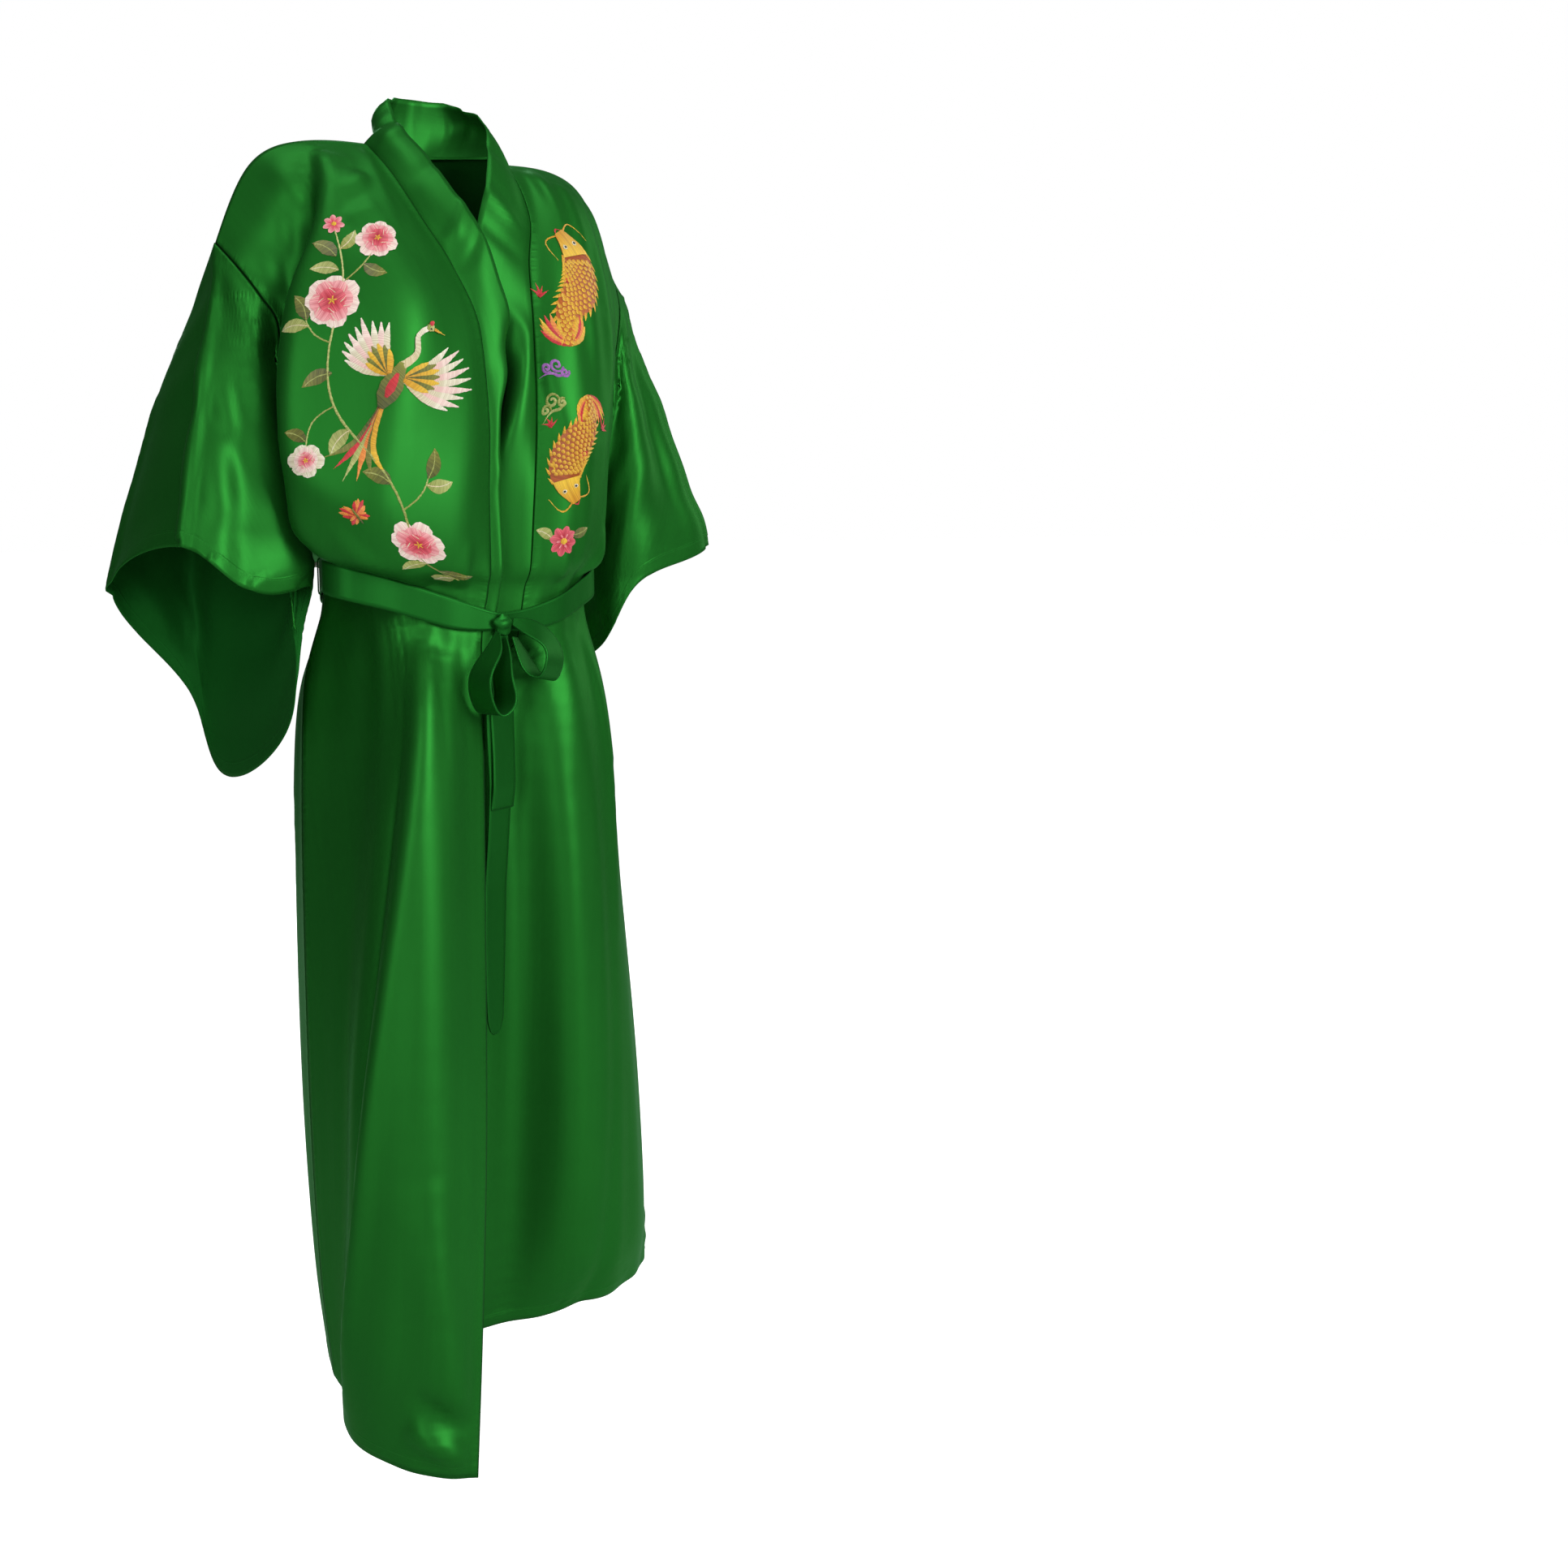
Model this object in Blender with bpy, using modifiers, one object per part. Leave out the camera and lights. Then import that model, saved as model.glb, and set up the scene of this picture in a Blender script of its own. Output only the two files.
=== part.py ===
import bpy
import numpy as np

for old_object in list(bpy.data.objects):
    bpy.data.objects.remove(old_object, do_unlink=True)

# Long kimono robe worn on a general figure, held at the shoulders.
# Metres. +X is the wearer's left, the front faces -Y, +Z is up, the origin lies between the shoulders.
CLOTH = 0.0015
SEAM_GAP = 0.0010
SIDE_GAP = 0.0005
ARM_CLEARANCE = 0.0010
UNDERARM_CLEARANCE = 0.0020
BELT_WIDTH = 0.033
BELT_CLOTH = 0.0018
LENGTH_STEPS = 35
FRONT_STEPS = 10
NECK_STEPS = 7
SLEEVE_STEPS = 9
BAND_STEPS = (3, 54)
BELT_STEPS = 48
TAIL_STEPS = 12
LOOP_STEPS = 22
NECK_SHARE = 0.34
BACK_PLACES = (0.0, 1 / 6, 0.5 - 0.5 * NECK_SHARE, 0.5, 0.5 + 0.5 * NECK_SHARE, 5 / 6, 1.0)
GREEN = (0.012, 0.20, 0.035, 1.0)

# A row per level of the wearer's right front, from the shoulder line to the hem.
# fall is how much higher or lower the side lies than the front edge, bend how late that happens.
FRONT_COLUMNS = ("z", "fall", "bend", "edge_x", "edge_y", "breast_x", "breast_y",
                 "crest_x", "crest_y", "valley_x", "valley_y", "side_x", "side_y")
FRONT_RIGHT_ROWS = {
    "shoulder": (0.010, -0.110, 4.0, -0.077, 0.003, -0.115, 0.001, -0.160, 0.000, -0.205, 0.000, -0.240, 0.000),
    "yoke": (-0.020, -0.105, 3.0, -0.068, -0.034, -0.110, -0.044, -0.153, -0.048, -0.186, -0.036, -0.226, -0.022),
    "collarbone": (-0.068, -0.085, 2.0, -0.054, -0.073, -0.102, -0.088, -0.168, -0.078, -0.178, -0.046, -0.209, -0.036),
    "chest": (-0.120, -0.055, 2.0, -0.033, -0.103, -0.095, -0.118, -0.187, -0.094, -0.180, -0.056, -0.194, -0.038),
    "bust": (-0.185, -0.045, 2.0, -0.016, -0.127, -0.092, -0.142, -0.207, -0.106, -0.180, -0.062, -0.186, -0.030),
    "underarm": (-0.270, -0.060, 2.0, -0.014, -0.138, -0.095, -0.150, -0.224, -0.106, -0.176, -0.064, -0.170, 0.000),
    "blouse": (-0.350, -0.025, 1.5, -0.018, -0.143, -0.098, -0.156, -0.220, -0.102, -0.164, -0.068, -0.150, 0.002),
    "overhang": (-0.420, 0.022, 1.5, -0.018, -0.143, -0.088, -0.148, -0.160, -0.100, -0.156, -0.055, -0.145, 0.002),
    "tuck": (-0.442, 0.034, 1.5, -0.018, -0.136, -0.066, -0.128, -0.112, -0.105, -0.136, -0.062, -0.139, 0.002),
    "waist": (-0.490, 0.038, 1.5, -0.024, -0.132, -0.066, -0.128, -0.102, -0.110, -0.122, -0.074, -0.140, 0.000),
    "hip": (-0.570, 0.020, 1.5, -0.031, -0.146, -0.085, -0.163, -0.122, -0.150, -0.128, -0.100, -0.168, -0.008),
    "thigh": (-0.750, 0.010, 1.5, -0.044, -0.168, -0.106, -0.192, -0.160, -0.163, -0.152, -0.108, -0.177, -0.012),
    "knee": (-1.000, 0.015, 1.2, -0.064, -0.200, -0.132, -0.216, -0.199, -0.168, -0.174, -0.108, -0.180, -0.018),
    "calf": (-1.200, 0.035, 1.0, -0.084, -0.222, -0.150, -0.224, -0.205, -0.150, -0.178, -0.092, -0.177, -0.024),
    "hem": (-1.338, 0.052, 1.0, -0.097, -0.232, -0.160, -0.206, -0.192, -0.128, -0.173, -0.074, -0.168, -0.030),
}
FRONT_LEFT_ROWS = {
    "shoulder": (0.003, -0.123, 4.0, 0.077, 0.003, 0.112, 0.001, 0.146, 0.000, 0.180, 0.000, 0.213, 0.000),
    "yoke": (-0.016, -0.126, 3.0, 0.073, -0.032, 0.109, -0.040, 0.143, -0.042, 0.175, -0.036, 0.204, -0.022),
    "collarbone": (-0.060, -0.104, 2.0, 0.070, -0.070, 0.108, -0.080, 0.145, -0.075, 0.173, -0.057, 0.196, -0.034),
    "chest": (-0.115, -0.080, 2.0, 0.056, -0.094, 0.103, -0.108, 0.144, -0.098, 0.171, -0.072, 0.186, -0.042),
    "bust": (-0.185, -0.060, 2.0, 0.050, -0.114, 0.098, -0.132, 0.140, -0.112, 0.165, -0.074, 0.178, -0.036),
    "underarm": (-0.270, -0.060, 2.0, 0.044, -0.128, 0.094, -0.146, 0.136, -0.114, 0.158, -0.068, 0.168, 0.000),
    "blouse": (-0.350, -0.025, 1.5, 0.037, -0.133, 0.090, -0.150, 0.134, -0.110, 0.152, -0.062, 0.150, 0.002),
    "overhang": (-0.420, 0.022, 1.5, 0.032, -0.132, 0.086, -0.142, 0.132, -0.098, 0.148, -0.054, 0.145, 0.002),
    "tuck": (-0.442, 0.034, 1.5, 0.029, -0.123, 0.070, -0.121, 0.108, -0.098, 0.132, -0.058, 0.139, 0.002),
    "waist": (-0.490, 0.038, 1.5, 0.022, -0.120, 0.064, -0.121, 0.106, -0.096, 0.132, -0.056, 0.140, 0.000),
    "hip": (-0.570, 0.020, 1.5, -0.036, -0.120, 0.058, -0.134, 0.112, -0.118, 0.151, -0.070, 0.165, 0.000),
    "thigh": (-0.750, 0.010, 1.5, -0.042, -0.122, 0.062, -0.142, 0.120, -0.136, 0.166, -0.078, 0.190, 0.004),
    "knee": (-1.000, 0.010, 1.2, -0.050, -0.106, 0.066, -0.132, 0.128, -0.140, 0.186, -0.080, 0.218, 0.004),
    "calf": (-1.180, 0.010, 1.0, -0.056, -0.086, 0.064, -0.110, 0.128, -0.126, 0.194, -0.074, 0.232, 0.004),
    "hem": (-1.258, 0.016, 1.0, -0.060, -0.062, 0.056, -0.080, 0.118, -0.094, 0.192, -0.052, 0.240, 0.004),
}
# A row per level of the back. The sides below the arms are those of the fronts.
BACK_COLUMNS = ("z", "bend", "centre_y", "neck_x", "neck_y", "blade_x", "blade_y")
BACK_ROWS = {
    "shoulder": (0.012, 4.0, 0.060, 0.077, 0.003, 0.152, 0.002),
    "yoke": (-0.020, 3.0, 0.080, 0.078, 0.050, 0.152, 0.048),
    "collarbone": (-0.075, 2.5, 0.098, 0.078, 0.090, 0.154, 0.084),
    "chest": (-0.130, 2.0, 0.108, 0.080, 0.110, 0.156, 0.106),
    "bust": (-0.200, 2.0, 0.114, 0.082, 0.122, 0.158, 0.112),
    "underarm": (-0.290, 2.0, 0.118, 0.080, 0.128, 0.150, 0.096),
    "blouse": (-0.375, 1.5, 0.128, 0.078, 0.140, 0.138, 0.098),
    "overhang": (-0.430, 1.5, 0.138, 0.074, 0.144, 0.130, 0.090),
    "tuck": (-0.448, 1.5, 0.102, 0.058, 0.098, 0.106, 0.074),
    "waist": (-0.496, 1.5, 0.102, 0.058, 0.098, 0.106, 0.074),
    "hip": (-0.570, 1.5, 0.118, 0.066, 0.120, 0.128, 0.090),
    "thigh": (-0.750, 1.5, 0.122, 0.072, 0.128, 0.146, 0.094),
    "knee": (-1.000, 1.2, 0.118, 0.080, 0.126, 0.164, 0.086),
    "calf": (-1.190, 1.0, 0.108, 0.082, 0.114, 0.168, 0.076),
    "hem": (-1.275, 1.0, 0.098, 0.080, 0.102, 0.166, 0.066),
}
# Armhole seam on the back, from the shoulder line down to just over the underarm.
BACK_ARMHOLE_ROWS = {
    "shoulder": (0.240, 0.000, -0.100),
    "yoke": (0.240, 0.034, -0.128),
    "collarbone": (0.234, 0.070, -0.168),
    "chest": (0.226, 0.090, -0.216),
    "bust": (0.206, 0.074, -0.278),
}
# Soft folds: middle at the top and at the hem as shares of the panel's width, size, lean, levels it runs between.
FOLD_COLUMNS = ("top_at", "low_at", "width", "height", "lean", "top_level", "low_level")
BACK_FOLDS = {
    "centre swell": (0.52, 0.46, 0.060, 0.010, 0.000, 9.4, 15.0),
    "left swell": (0.74, 0.80, 0.050, 0.012, 0.004, 9.4, 15.0),
    "right swell": (0.27, 0.24, 0.050, 0.012, -0.004, 9.4, 15.0),
    "blouse left": (0.66, 0.60, 0.050, 0.010, 0.000, 4.5, 7.9),
    "blouse right": (0.36, 0.40, 0.050, 0.011, 0.000, 4.8, 7.9),
    "blouse centre": (0.50, 0.52, 0.035, 0.008, 0.000, 5.4, 7.9),
}
FRONT_RIGHT_FOLDS = {
    "belt drape": (0.55, 0.20, 0.070, 0.012, 0.000, 4.6, 7.9),
    "breast drape": (0.24, 0.34, 0.060, 0.007, 0.000, 2.4, 7.6),
}
FRONT_LEFT_FOLDS = {
    "belt drape": (0.62, 0.30, 0.070, 0.012, 0.000, 4.2, 7.9),
    "skirt swell": (0.42, 0.44, 0.070, 0.014, 0.000, 9.4, 15.0),
}
# A row per station of the collar band: level on the front it is sewn to, its fold and its free edge.
BAND_COLUMNS = ("level", "fold_x", "fold_y", "fold_z", "edge_x", "edge_y", "edge_z")
BAND_RIGHT_ROWS = {
    "end": (9.55, -0.018, -0.1375, -0.530, -0.017, -0.130, -0.530),
    "under belt": (8.60, -0.010, -0.1345, -0.470, -0.010, -0.124, -0.470),
    "tuck": (8.00, -0.006, -0.1370, -0.442, -0.007, -0.125, -0.440),
    "overhang": (7.00, -0.006, -0.1460, -0.416, -0.007, -0.128, -0.412),
    "blouse": (6.00, -0.006, -0.1430, -0.348, -0.006, -0.122, -0.344),
    "underarm": (5.00, -0.002, -0.1390, -0.268, -0.001, -0.114, -0.262),
    "turn": (4.50, 0.008, -0.1350, -0.220, 0.010, -0.115, -0.212),
    "crossing": (4.00, 0.004, -0.1285, -0.176, 0.018, -0.124, -0.168),
    "below point": (3.55, -0.006, -0.1200, -0.140, 0.010, -0.1175, -0.128),
    "point": (3.00, -0.014, -0.1085, -0.104, 0.000, -0.105, -0.084),
    "throat": (2.00, -0.036, -0.0800, -0.056, -0.018, -0.075, -0.040),
    "neck front": (1.00, -0.048, -0.0440, -0.012, -0.028, -0.040, -0.004),
    "neck side": (0.00, -0.062, -0.0020, 0.026, -0.043, 0.000, 0.034),
}
BAND_LEFT_ROWS = {
    "neck side": (0.00, 0.066, -0.0020, 0.026, 0.053, 0.000, 0.044),
    "neck front": (1.00, 0.060, -0.0400, -0.002, 0.041, -0.035, 0.016),
    "throat": (2.00, 0.046, -0.0760, -0.044, 0.021, -0.070, -0.026),
    "point": (3.00, 0.026, -0.0960, -0.100, -0.001, -0.0935, -0.086),
    "below point": (3.55, 0.026, -0.1020, -0.142, -0.002, -0.097, -0.132),
    "crossing": (4.00, 0.038, -0.1160, -0.184, 0.014, -0.098, -0.182),
    "turn": (4.50, 0.032, -0.1230, -0.224, 0.022, -0.101, -0.224),
    "underarm": (5.00, 0.020, -0.1300, -0.268, 0.012, -0.108, -0.268),
    "blouse": (6.00, -0.002, -0.1200, -0.348, -0.018, -0.1080, -0.348),
    "overhang": (7.00, -0.010, -0.1150, -0.416, -0.034, -0.1060, -0.416),
    "tuck": (8.00, -0.010, -0.1120, -0.442, -0.036, -0.1050, -0.442),
    "under belt": (8.60, -0.010, -0.1110, -0.472, -0.038, -0.1050, -0.472),
    "end": (9.55, -0.024, -0.1160, -0.530, -0.040, -0.1110, -0.530),
}
# Neck part of the band, a row per station round the nape: share across the back, fold, free edge.
NAPE_ROWS = {
    "right": (-0.60, -0.050, 0.0400, 0.044, -0.036, 0.036, 0.064),
    "nape": (0.00, 0.000, 0.0600, 0.042, 0.000, 0.055, 0.070),
    "left": (0.60, 0.052, 0.0400, 0.044, 0.040, 0.036, 0.064),
}
# Cuff loop of each sleeve: place round the sleeve, the point, and how far the cloth bellies there.
CUFF_COLUMNS = ("turn", "x", "y", "z", "belly_x", "belly_y", "belly_z")
CUFF_RIGHT_ROWS = {
    "crest": (0.00, -0.306, -0.050, -0.396, 0.000, 0.000, 0.004),
    "outer back": (0.11, -0.334, 0.084, -0.439, -0.004, 0.012, 0.000),
    "back": (0.20, -0.284, 0.116, -0.506, -0.010, 0.022, 0.000),
    "back low": (0.31, -0.240, 0.112, -0.572, -0.008, 0.024, 0.000),
    "tip": (0.42, -0.222, 0.082, -0.646, -0.004, 0.010, 0.000),
    "inner low": (0.52, -0.198, -0.030, -0.592, 0.000, 0.000, 0.000),
    "inner": (0.64, -0.186, -0.046, -0.500, -0.004, 0.000, 0.000),
    "inner corner": (0.74, -0.172, -0.052, -0.438, -0.004, 0.000, 0.000),
    "front": (0.86, -0.232, -0.078, -0.444, -0.004, -0.010, 0.000),
    "front outer": (0.95, -0.288, -0.078, -0.408, 0.000, -0.006, 0.000),
}
CUFF_LEFT_ROWS = {
    "crest": (0.00, 0.318, -0.022, -0.406, 0.000, 0.000, 0.004),
    "outer back": (0.11, 0.314, 0.106, -0.424, 0.006, 0.014, 0.000),
    "back": (0.20, 0.300, 0.160, -0.470, 0.012, 0.020, 0.000),
    "back low": (0.31, 0.258, 0.164, -0.536, 0.008, 0.020, 0.000),
    "tip": (0.42, 0.204, 0.116, -0.648, 0.004, 0.010, 0.000),
    "inner low": (0.52, 0.186, 0.060, -0.590, 0.000, 0.004, 0.000),
    "inner": (0.64, 0.182, 0.016, -0.526, 0.004, 0.000, 0.000),
    "inner corner": (0.74, 0.186, -0.024, -0.504, 0.004, 0.000, 0.000),
    "front": (0.86, 0.214, -0.046, -0.440, 0.002, -0.012, 0.000),
    "front outer": (0.95, 0.282, -0.042, -0.418, 0.000, -0.008, 0.000),
}
# Bow loops and tails, from the middle of the knot: middle of the ribbon, the way its width lies, its width.
RIBBON_COLUMNS = ("x", "y", "z", "across_x", "across_y", "across_z", "width")
BOW_RIGHT_ROWS = {
    "knot": (-0.0073, -0.0023, -0.0075, -0.30, 0.94, 0.10, 0.006),
    "upper": (-0.0240, -0.0230, -0.0270, -0.26, 0.96, 0.06, 0.026),
    "crease": (-0.0400, -0.0305, -0.0460, -0.22, 0.97, 0.00, 0.034),
    "low": (-0.0410, -0.0305, -0.0680, -0.22, 0.97, 0.00, 0.036),
    "bottom": (-0.0280, -0.0300, -0.0880, -0.22, 0.97, 0.00, 0.036),
    "return": (-0.0135, -0.0280, -0.0770, -0.22, 0.97, 0.00, 0.036),
    "inner": (-0.0135, -0.0260, -0.0540, -0.22, 0.97, 0.00, 0.032),
    "back": (-0.0080, -0.0190, -0.0310, -0.22, 0.97, 0.00, 0.020),
    "under knot": (-0.0020, -0.0078, -0.0125, -0.22, 0.97, 0.00, 0.006),
}
BOW_LEFT_ROWS = {
    "knot": (0.0104, -0.0011, 0.0026, 0.40, 0.62, 0.66, 0.009),
    "upper": (0.0251, -0.0090, -0.0031, 0.68, 0.60, 0.43, 0.028),
    "fold": (0.0461, -0.0221, -0.0270, 0.82, 0.55, -0.10, 0.036),
    "outer": (0.0440, -0.0241, -0.0450, 0.82, 0.55, -0.17, 0.036),
    "bottom": (0.0384, -0.0181, -0.0560, 0.82, 0.55, -0.17, 0.036),
    "return": (0.0306, -0.0111, -0.0520, 0.82, 0.55, -0.14, 0.034),
    "inner": (0.0207, -0.0063, -0.0350, 0.82, 0.55, -0.10, 0.026),
    "back": (0.0115, -0.0022, -0.0130, 0.82, 0.55, -0.10, 0.009),
}
TAIL_SHORT_ROWS = {
    "knot": (0.0010, 0.0010, -0.0113, 0.90, 0.30, 0.00, 0.010),
    "below": (-0.0020, 0.0020, -0.0400, 0.88, 0.40, 0.00, 0.030),
    "middle": (-0.0050, 0.0030, -0.1120, 0.88, 0.42, 0.00, 0.036),
    "end": (-0.0065, 0.0030, -0.1890, 0.88, 0.42, 0.00, 0.036),
}
TAIL_LONG_ROWS = {
    "knot": (0.0000, 0.0036, -0.0098, 0.90, 0.30, 0.00, 0.008),
    "below": (-0.0045, 0.0080, -0.0400, 0.88, 0.40, 0.00, 0.028),
    "middle": (-0.0085, 0.0080, -0.1630, 0.88, 0.42, 0.00, 0.036),
    "low": (-0.0145, 0.0040, -0.3130, 0.88, 0.42, 0.00, 0.034),
    "end": (-0.0175, 0.0010, -0.4270, 0.88, 0.42, 0.00, 0.024),
}
KNOT_DROP = 0.003
KNOT_SIZE = (0.0105, 0.0055, 0.0110)
THREAD_LOOP_RADIUS = 0.0008
THREAD_LOOP_PATH = ((0.0006, 0.0189), (0.0022, 0.0175), (0.0028, 0.0151), (0.0028, 0.0000),
                    (0.0028, -0.0151), (0.0022, -0.0175), (0.0006, -0.0189))
THREAD_LOOP_ENDS = {"belt_loop_right": -0.0002, "belt_loop_left": -0.0018}
# Place round the waist from the knot towards the wearer's right, height of the belt's middle, its width.
BELT_ROWS = ((0.00, -0.474, 0.017), (0.07, -0.463, 0.032), (0.14, -0.441, 0.033), (0.21, -0.424, 0.033),
             (0.27, -0.430, 0.033), (0.38, -0.450, 0.033), (0.50, -0.460, 0.033), (0.62, -0.450, 0.033),
             (0.73, -0.434, 0.033), (0.79, -0.431, 0.031), (0.86, -0.450, 0.028), (0.94, -0.472, 0.024))
BELT_CENTRE = (-0.0065, -0.012)
BELT_CLEARANCE = 0.0001
TOUCH = 0.0003


def steps(values, places, wanted):
    """Runs smoothly through the values without passing beyond them."""
    values = np.asarray(values, float)
    places = np.asarray(places, float)
    wanted = np.asarray(wanted, float)
    flat = values.reshape(len(places), -1)
    widths = np.diff(places)[:, None]
    slopes = np.diff(flat, axis=0) / widths
    tangents = np.zeros_like(flat)
    before, after = slopes[:-1], slopes[1:]
    same = before * after > 0
    first = 2 * widths[1:] + widths[:-1]
    second = widths[1:] + 2 * widths[:-1]
    safe_before = np.where(same, before, 1.0)
    safe_after = np.where(same, after, 1.0)
    mean = (first + second) / (first / safe_before + second / safe_after)
    tangents[1:-1] = np.where(same, mean, 0.0)
    tangents[0], tangents[-1] = slopes[0], slopes[-1]
    cell = np.clip(np.searchsorted(places, wanted, side="right") - 1, 0, len(places) - 2)
    width = widths[cell]
    share = ((wanted - places[cell]) / widths[cell, 0])[:, None]
    result = (flat[cell] * (1 + 2 * share) * (1 - share) ** 2
              + tangents[cell] * width * share * (1 - share) ** 2
              + flat[cell + 1] * share ** 2 * (3 - 2 * share)
              + tangents[cell + 1] * width * share ** 2 * (share - 1))
    return result.reshape((len(wanted),) + values.shape[1:])


def bending(values, places, wanted, closed=False):
    """Runs through the values with an even bend; closed joins the last to the first."""
    values = np.asarray(values, float)
    places = np.asarray(places, float)
    flat = values.reshape(len(places), -1)
    if closed:
        span = 1.0
        reach = 4
        flat = np.concatenate([flat[-reach:], flat, flat[:reach]])
        places = np.concatenate([places[-reach:] - span, places, places[:reach] + span])
    count = len(places)
    widths = np.diff(places)
    matrix = np.zeros((count, count))
    right_side = np.zeros_like(flat)
    for row in range(1, count - 1):
        matrix[row, row - 1] = widths[row - 1]
        matrix[row, row] = 2 * (widths[row - 1] + widths[row])
        matrix[row, row + 1] = widths[row]
        right_side[row] = 6 * ((flat[row + 1] - flat[row]) / widths[row]
                               - (flat[row] - flat[row - 1]) / widths[row - 1])
    matrix[0, 0] = matrix[-1, -1] = 1.0
    moments = np.linalg.solve(matrix, right_side)
    wanted = np.asarray(wanted, float)
    cell = np.clip(np.searchsorted(places, wanted, side="right") - 1, 0, count - 2)
    width = widths[cell][:, None]
    low = (places[cell + 1] - wanted)[:, None]
    high = (wanted - places[cell])[:, None]
    result = (moments[cell] * low ** 3 / (6 * width) + moments[cell + 1] * high ** 3 / (6 * width)
              + (flat[cell] / width - moments[cell] * width / 6) * low
              + (flat[cell + 1] / width - moments[cell + 1] * width / 6) * high)
    return result.reshape((len(wanted),) + values.shape[1:])


def front_guides(rows):
    """Guide points of a front: level, place across, xyz."""
    guides = []
    for row in rows.values():
        size = dict(zip(FRONT_COLUMNS, row))
        names = ("edge", "breast", "crest", "valley", "side")
        guides.append([(size[name + "_x"], size[name + "_y"], size["z"] + size["fall"] * (place / 4) ** size["bend"])
                       for place, name in enumerate(names)])
    return np.array(guides)


def side_line(rows, levels):
    return steps(front_guides(rows)[:, 4], np.arange(len(rows)), levels)


def edge_line(rows, levels):
    return steps(front_guides(rows)[:, 0], np.arange(len(rows)), levels)


def add_folds(grid, folds, levels, shares, outward_sign=1.0):
    """Raises the soft folds from the sheet along its own outward direction."""
    down = np.gradient(grid, axis=0)
    across = np.gradient(grid, axis=1)
    outward = outward_sign * np.cross(across, down)
    outward /= np.linalg.norm(outward, axis=2, keepdims=True) + 1e-12
    across /= np.linalg.norm(across, axis=2, keepdims=True) + 1e-12
    result = grid.copy()
    for row in folds.values():
        size = dict(zip(FOLD_COLUMNS, row))
        run = np.clip((levels - size["top_level"]) / (size["low_level"] - size["top_level"]), 0.0, 1.0)
        swell = np.sin(np.pi * np.clip(run, 0, 1)) if size["low_level"] < 14.5 else np.sin(0.5 * np.pi * run)
        middle = size["top_at"] + (size["low_at"] - size["top_at"]) * run
        bump = np.exp(-((shares[None, :] - middle[:, None]) / size["width"]) ** 2) * swell[:, None]
        result += bump[:, :, None] * (size["height"] * outward + size["lean"] * across)
    return result


def front_sheet(rows, folds, levels, shares):
    """The front as a grid of points: levels from the shoulder down, then from the edge to the side."""
    guides = front_guides(rows)
    lines = steps(guides, np.arange(len(guides)), levels)
    grid = np.stack([bending(line, np.linspace(0, 1, 5), shares) for line in lines])
    return add_folds(grid, folds, levels, shares)


def level_places(count):
    """Levels spread evenly over the cloth's length, closer at the shoulder and the belt, one at the underarm."""
    guide_line = front_guides(FRONT_RIGHT_ROWS)[:, 1]
    fine = np.linspace(0, len(guide_line) - 1, 1401)
    line = steps(guide_line, np.arange(len(guide_line)), fine)
    lengths = np.linalg.norm(np.diff(line, axis=0), axis=1)
    middle = 0.5 * (fine[1:] + fine[:-1])
    weight = 1.0 + 2.2 * np.exp(-((middle - 8.0) / 1.1) ** 2) + 1.2 * np.exp(-(middle / 1.2) ** 2)
    reach = np.concatenate([[0], np.cumsum(lengths * weight)])
    levels = np.interp(np.linspace(0, reach[-1], count + 1), reach, fine)
    levels[np.argmin(abs(levels - 5.0))] = 5.0
    return levels


def back_line(side):
    """Side line of the back: its armhole seam above, the front's side seam below."""
    rows = FRONT_RIGHT_ROWS if side < 0 else FRONT_LEFT_ROWS
    line = front_guides(rows)[:, 4].copy()
    top = line[0].copy()
    for place, row in enumerate(BACK_ARMHOLE_ROWS.values()):
        line[place] = (side * row[0], row[1], row[2])
    line[0] = top
    return line


def back_guides():
    right, left = back_line(-1), back_line(1)
    guides = []
    for place, row in enumerate(BACK_ROWS.values()):
        size = dict(zip(BACK_COLUMNS, row))
        middle = 0.5 * (right[place, 0] + left[place, 0]) if place > 4 else 0.0
        line = []
        for side, end in ((-1, right[place]), (1, left[place])):
            half = []
            for share, name in ((2 / 3, "blade"), (NECK_SHARE, "neck")):
                high = size["z"] + (end[2] - size["z"]) * share ** size["bend"]
                stretch = abs(end[0] - middle) / max(abs(back_reach(place)), 1e-6)
                half.append((middle + side * size[name + "_x"] * stretch, size[name + "_y"], high))
            half = [tuple(end)] + half
            line = half if side < 0 else line + [(middle, size["centre_y"], size["z"])] + half[::-1]
        guides.append(line)
    return np.array(guides)


def back_reach(place):
    """Half the back's width at a level, sides evened."""
    return 0.5 * (abs(back_line(-1)[place, 0]) + abs(back_line(1)[place, 0]))


def back_shares(front_shares, neck_steps):
    """Places across the back: the shoulders as on the fronts, the neck between them."""
    shoulder = 0.5 * (1 - NECK_SHARE) * (1 - front_shares[::-1])
    neck = np.linspace(0.5 - 0.5 * NECK_SHARE, 0.5 + 0.5 * NECK_SHARE, neck_steps + 1)
    return np.concatenate([shoulder, neck[1:-1], 1 - shoulder[::-1]])


def back_sheet(levels, shares):
    guides = back_guides()
    lines = steps(guides, np.arange(len(guides)), levels)
    grid = np.stack([bending(line, BACK_PLACES, shares) for line in lines])
    top = bending(guides[0], BACK_PLACES, shares)
    shoulder = 0.5 * (1 - NECK_SHARE)
    for rows, along in ((FRONT_RIGHT_ROWS, shares), (FRONT_LEFT_ROWS, 1 - shares)):
        outer = along <= shoulder + 1e-9
        wanted = bending(front_guides(rows)[0], np.linspace(0, 1, 5), 1 - along[outer] / shoulder)
        fade = np.clip(1 - levels / 1.3, 0, 1)[:, None, None] ** 2
        grid[:, outer] += fade * (wanted - top[outer])
    return add_folds(grid, BACK_FOLDS, levels, shares, outward_sign=-1.0)


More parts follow.
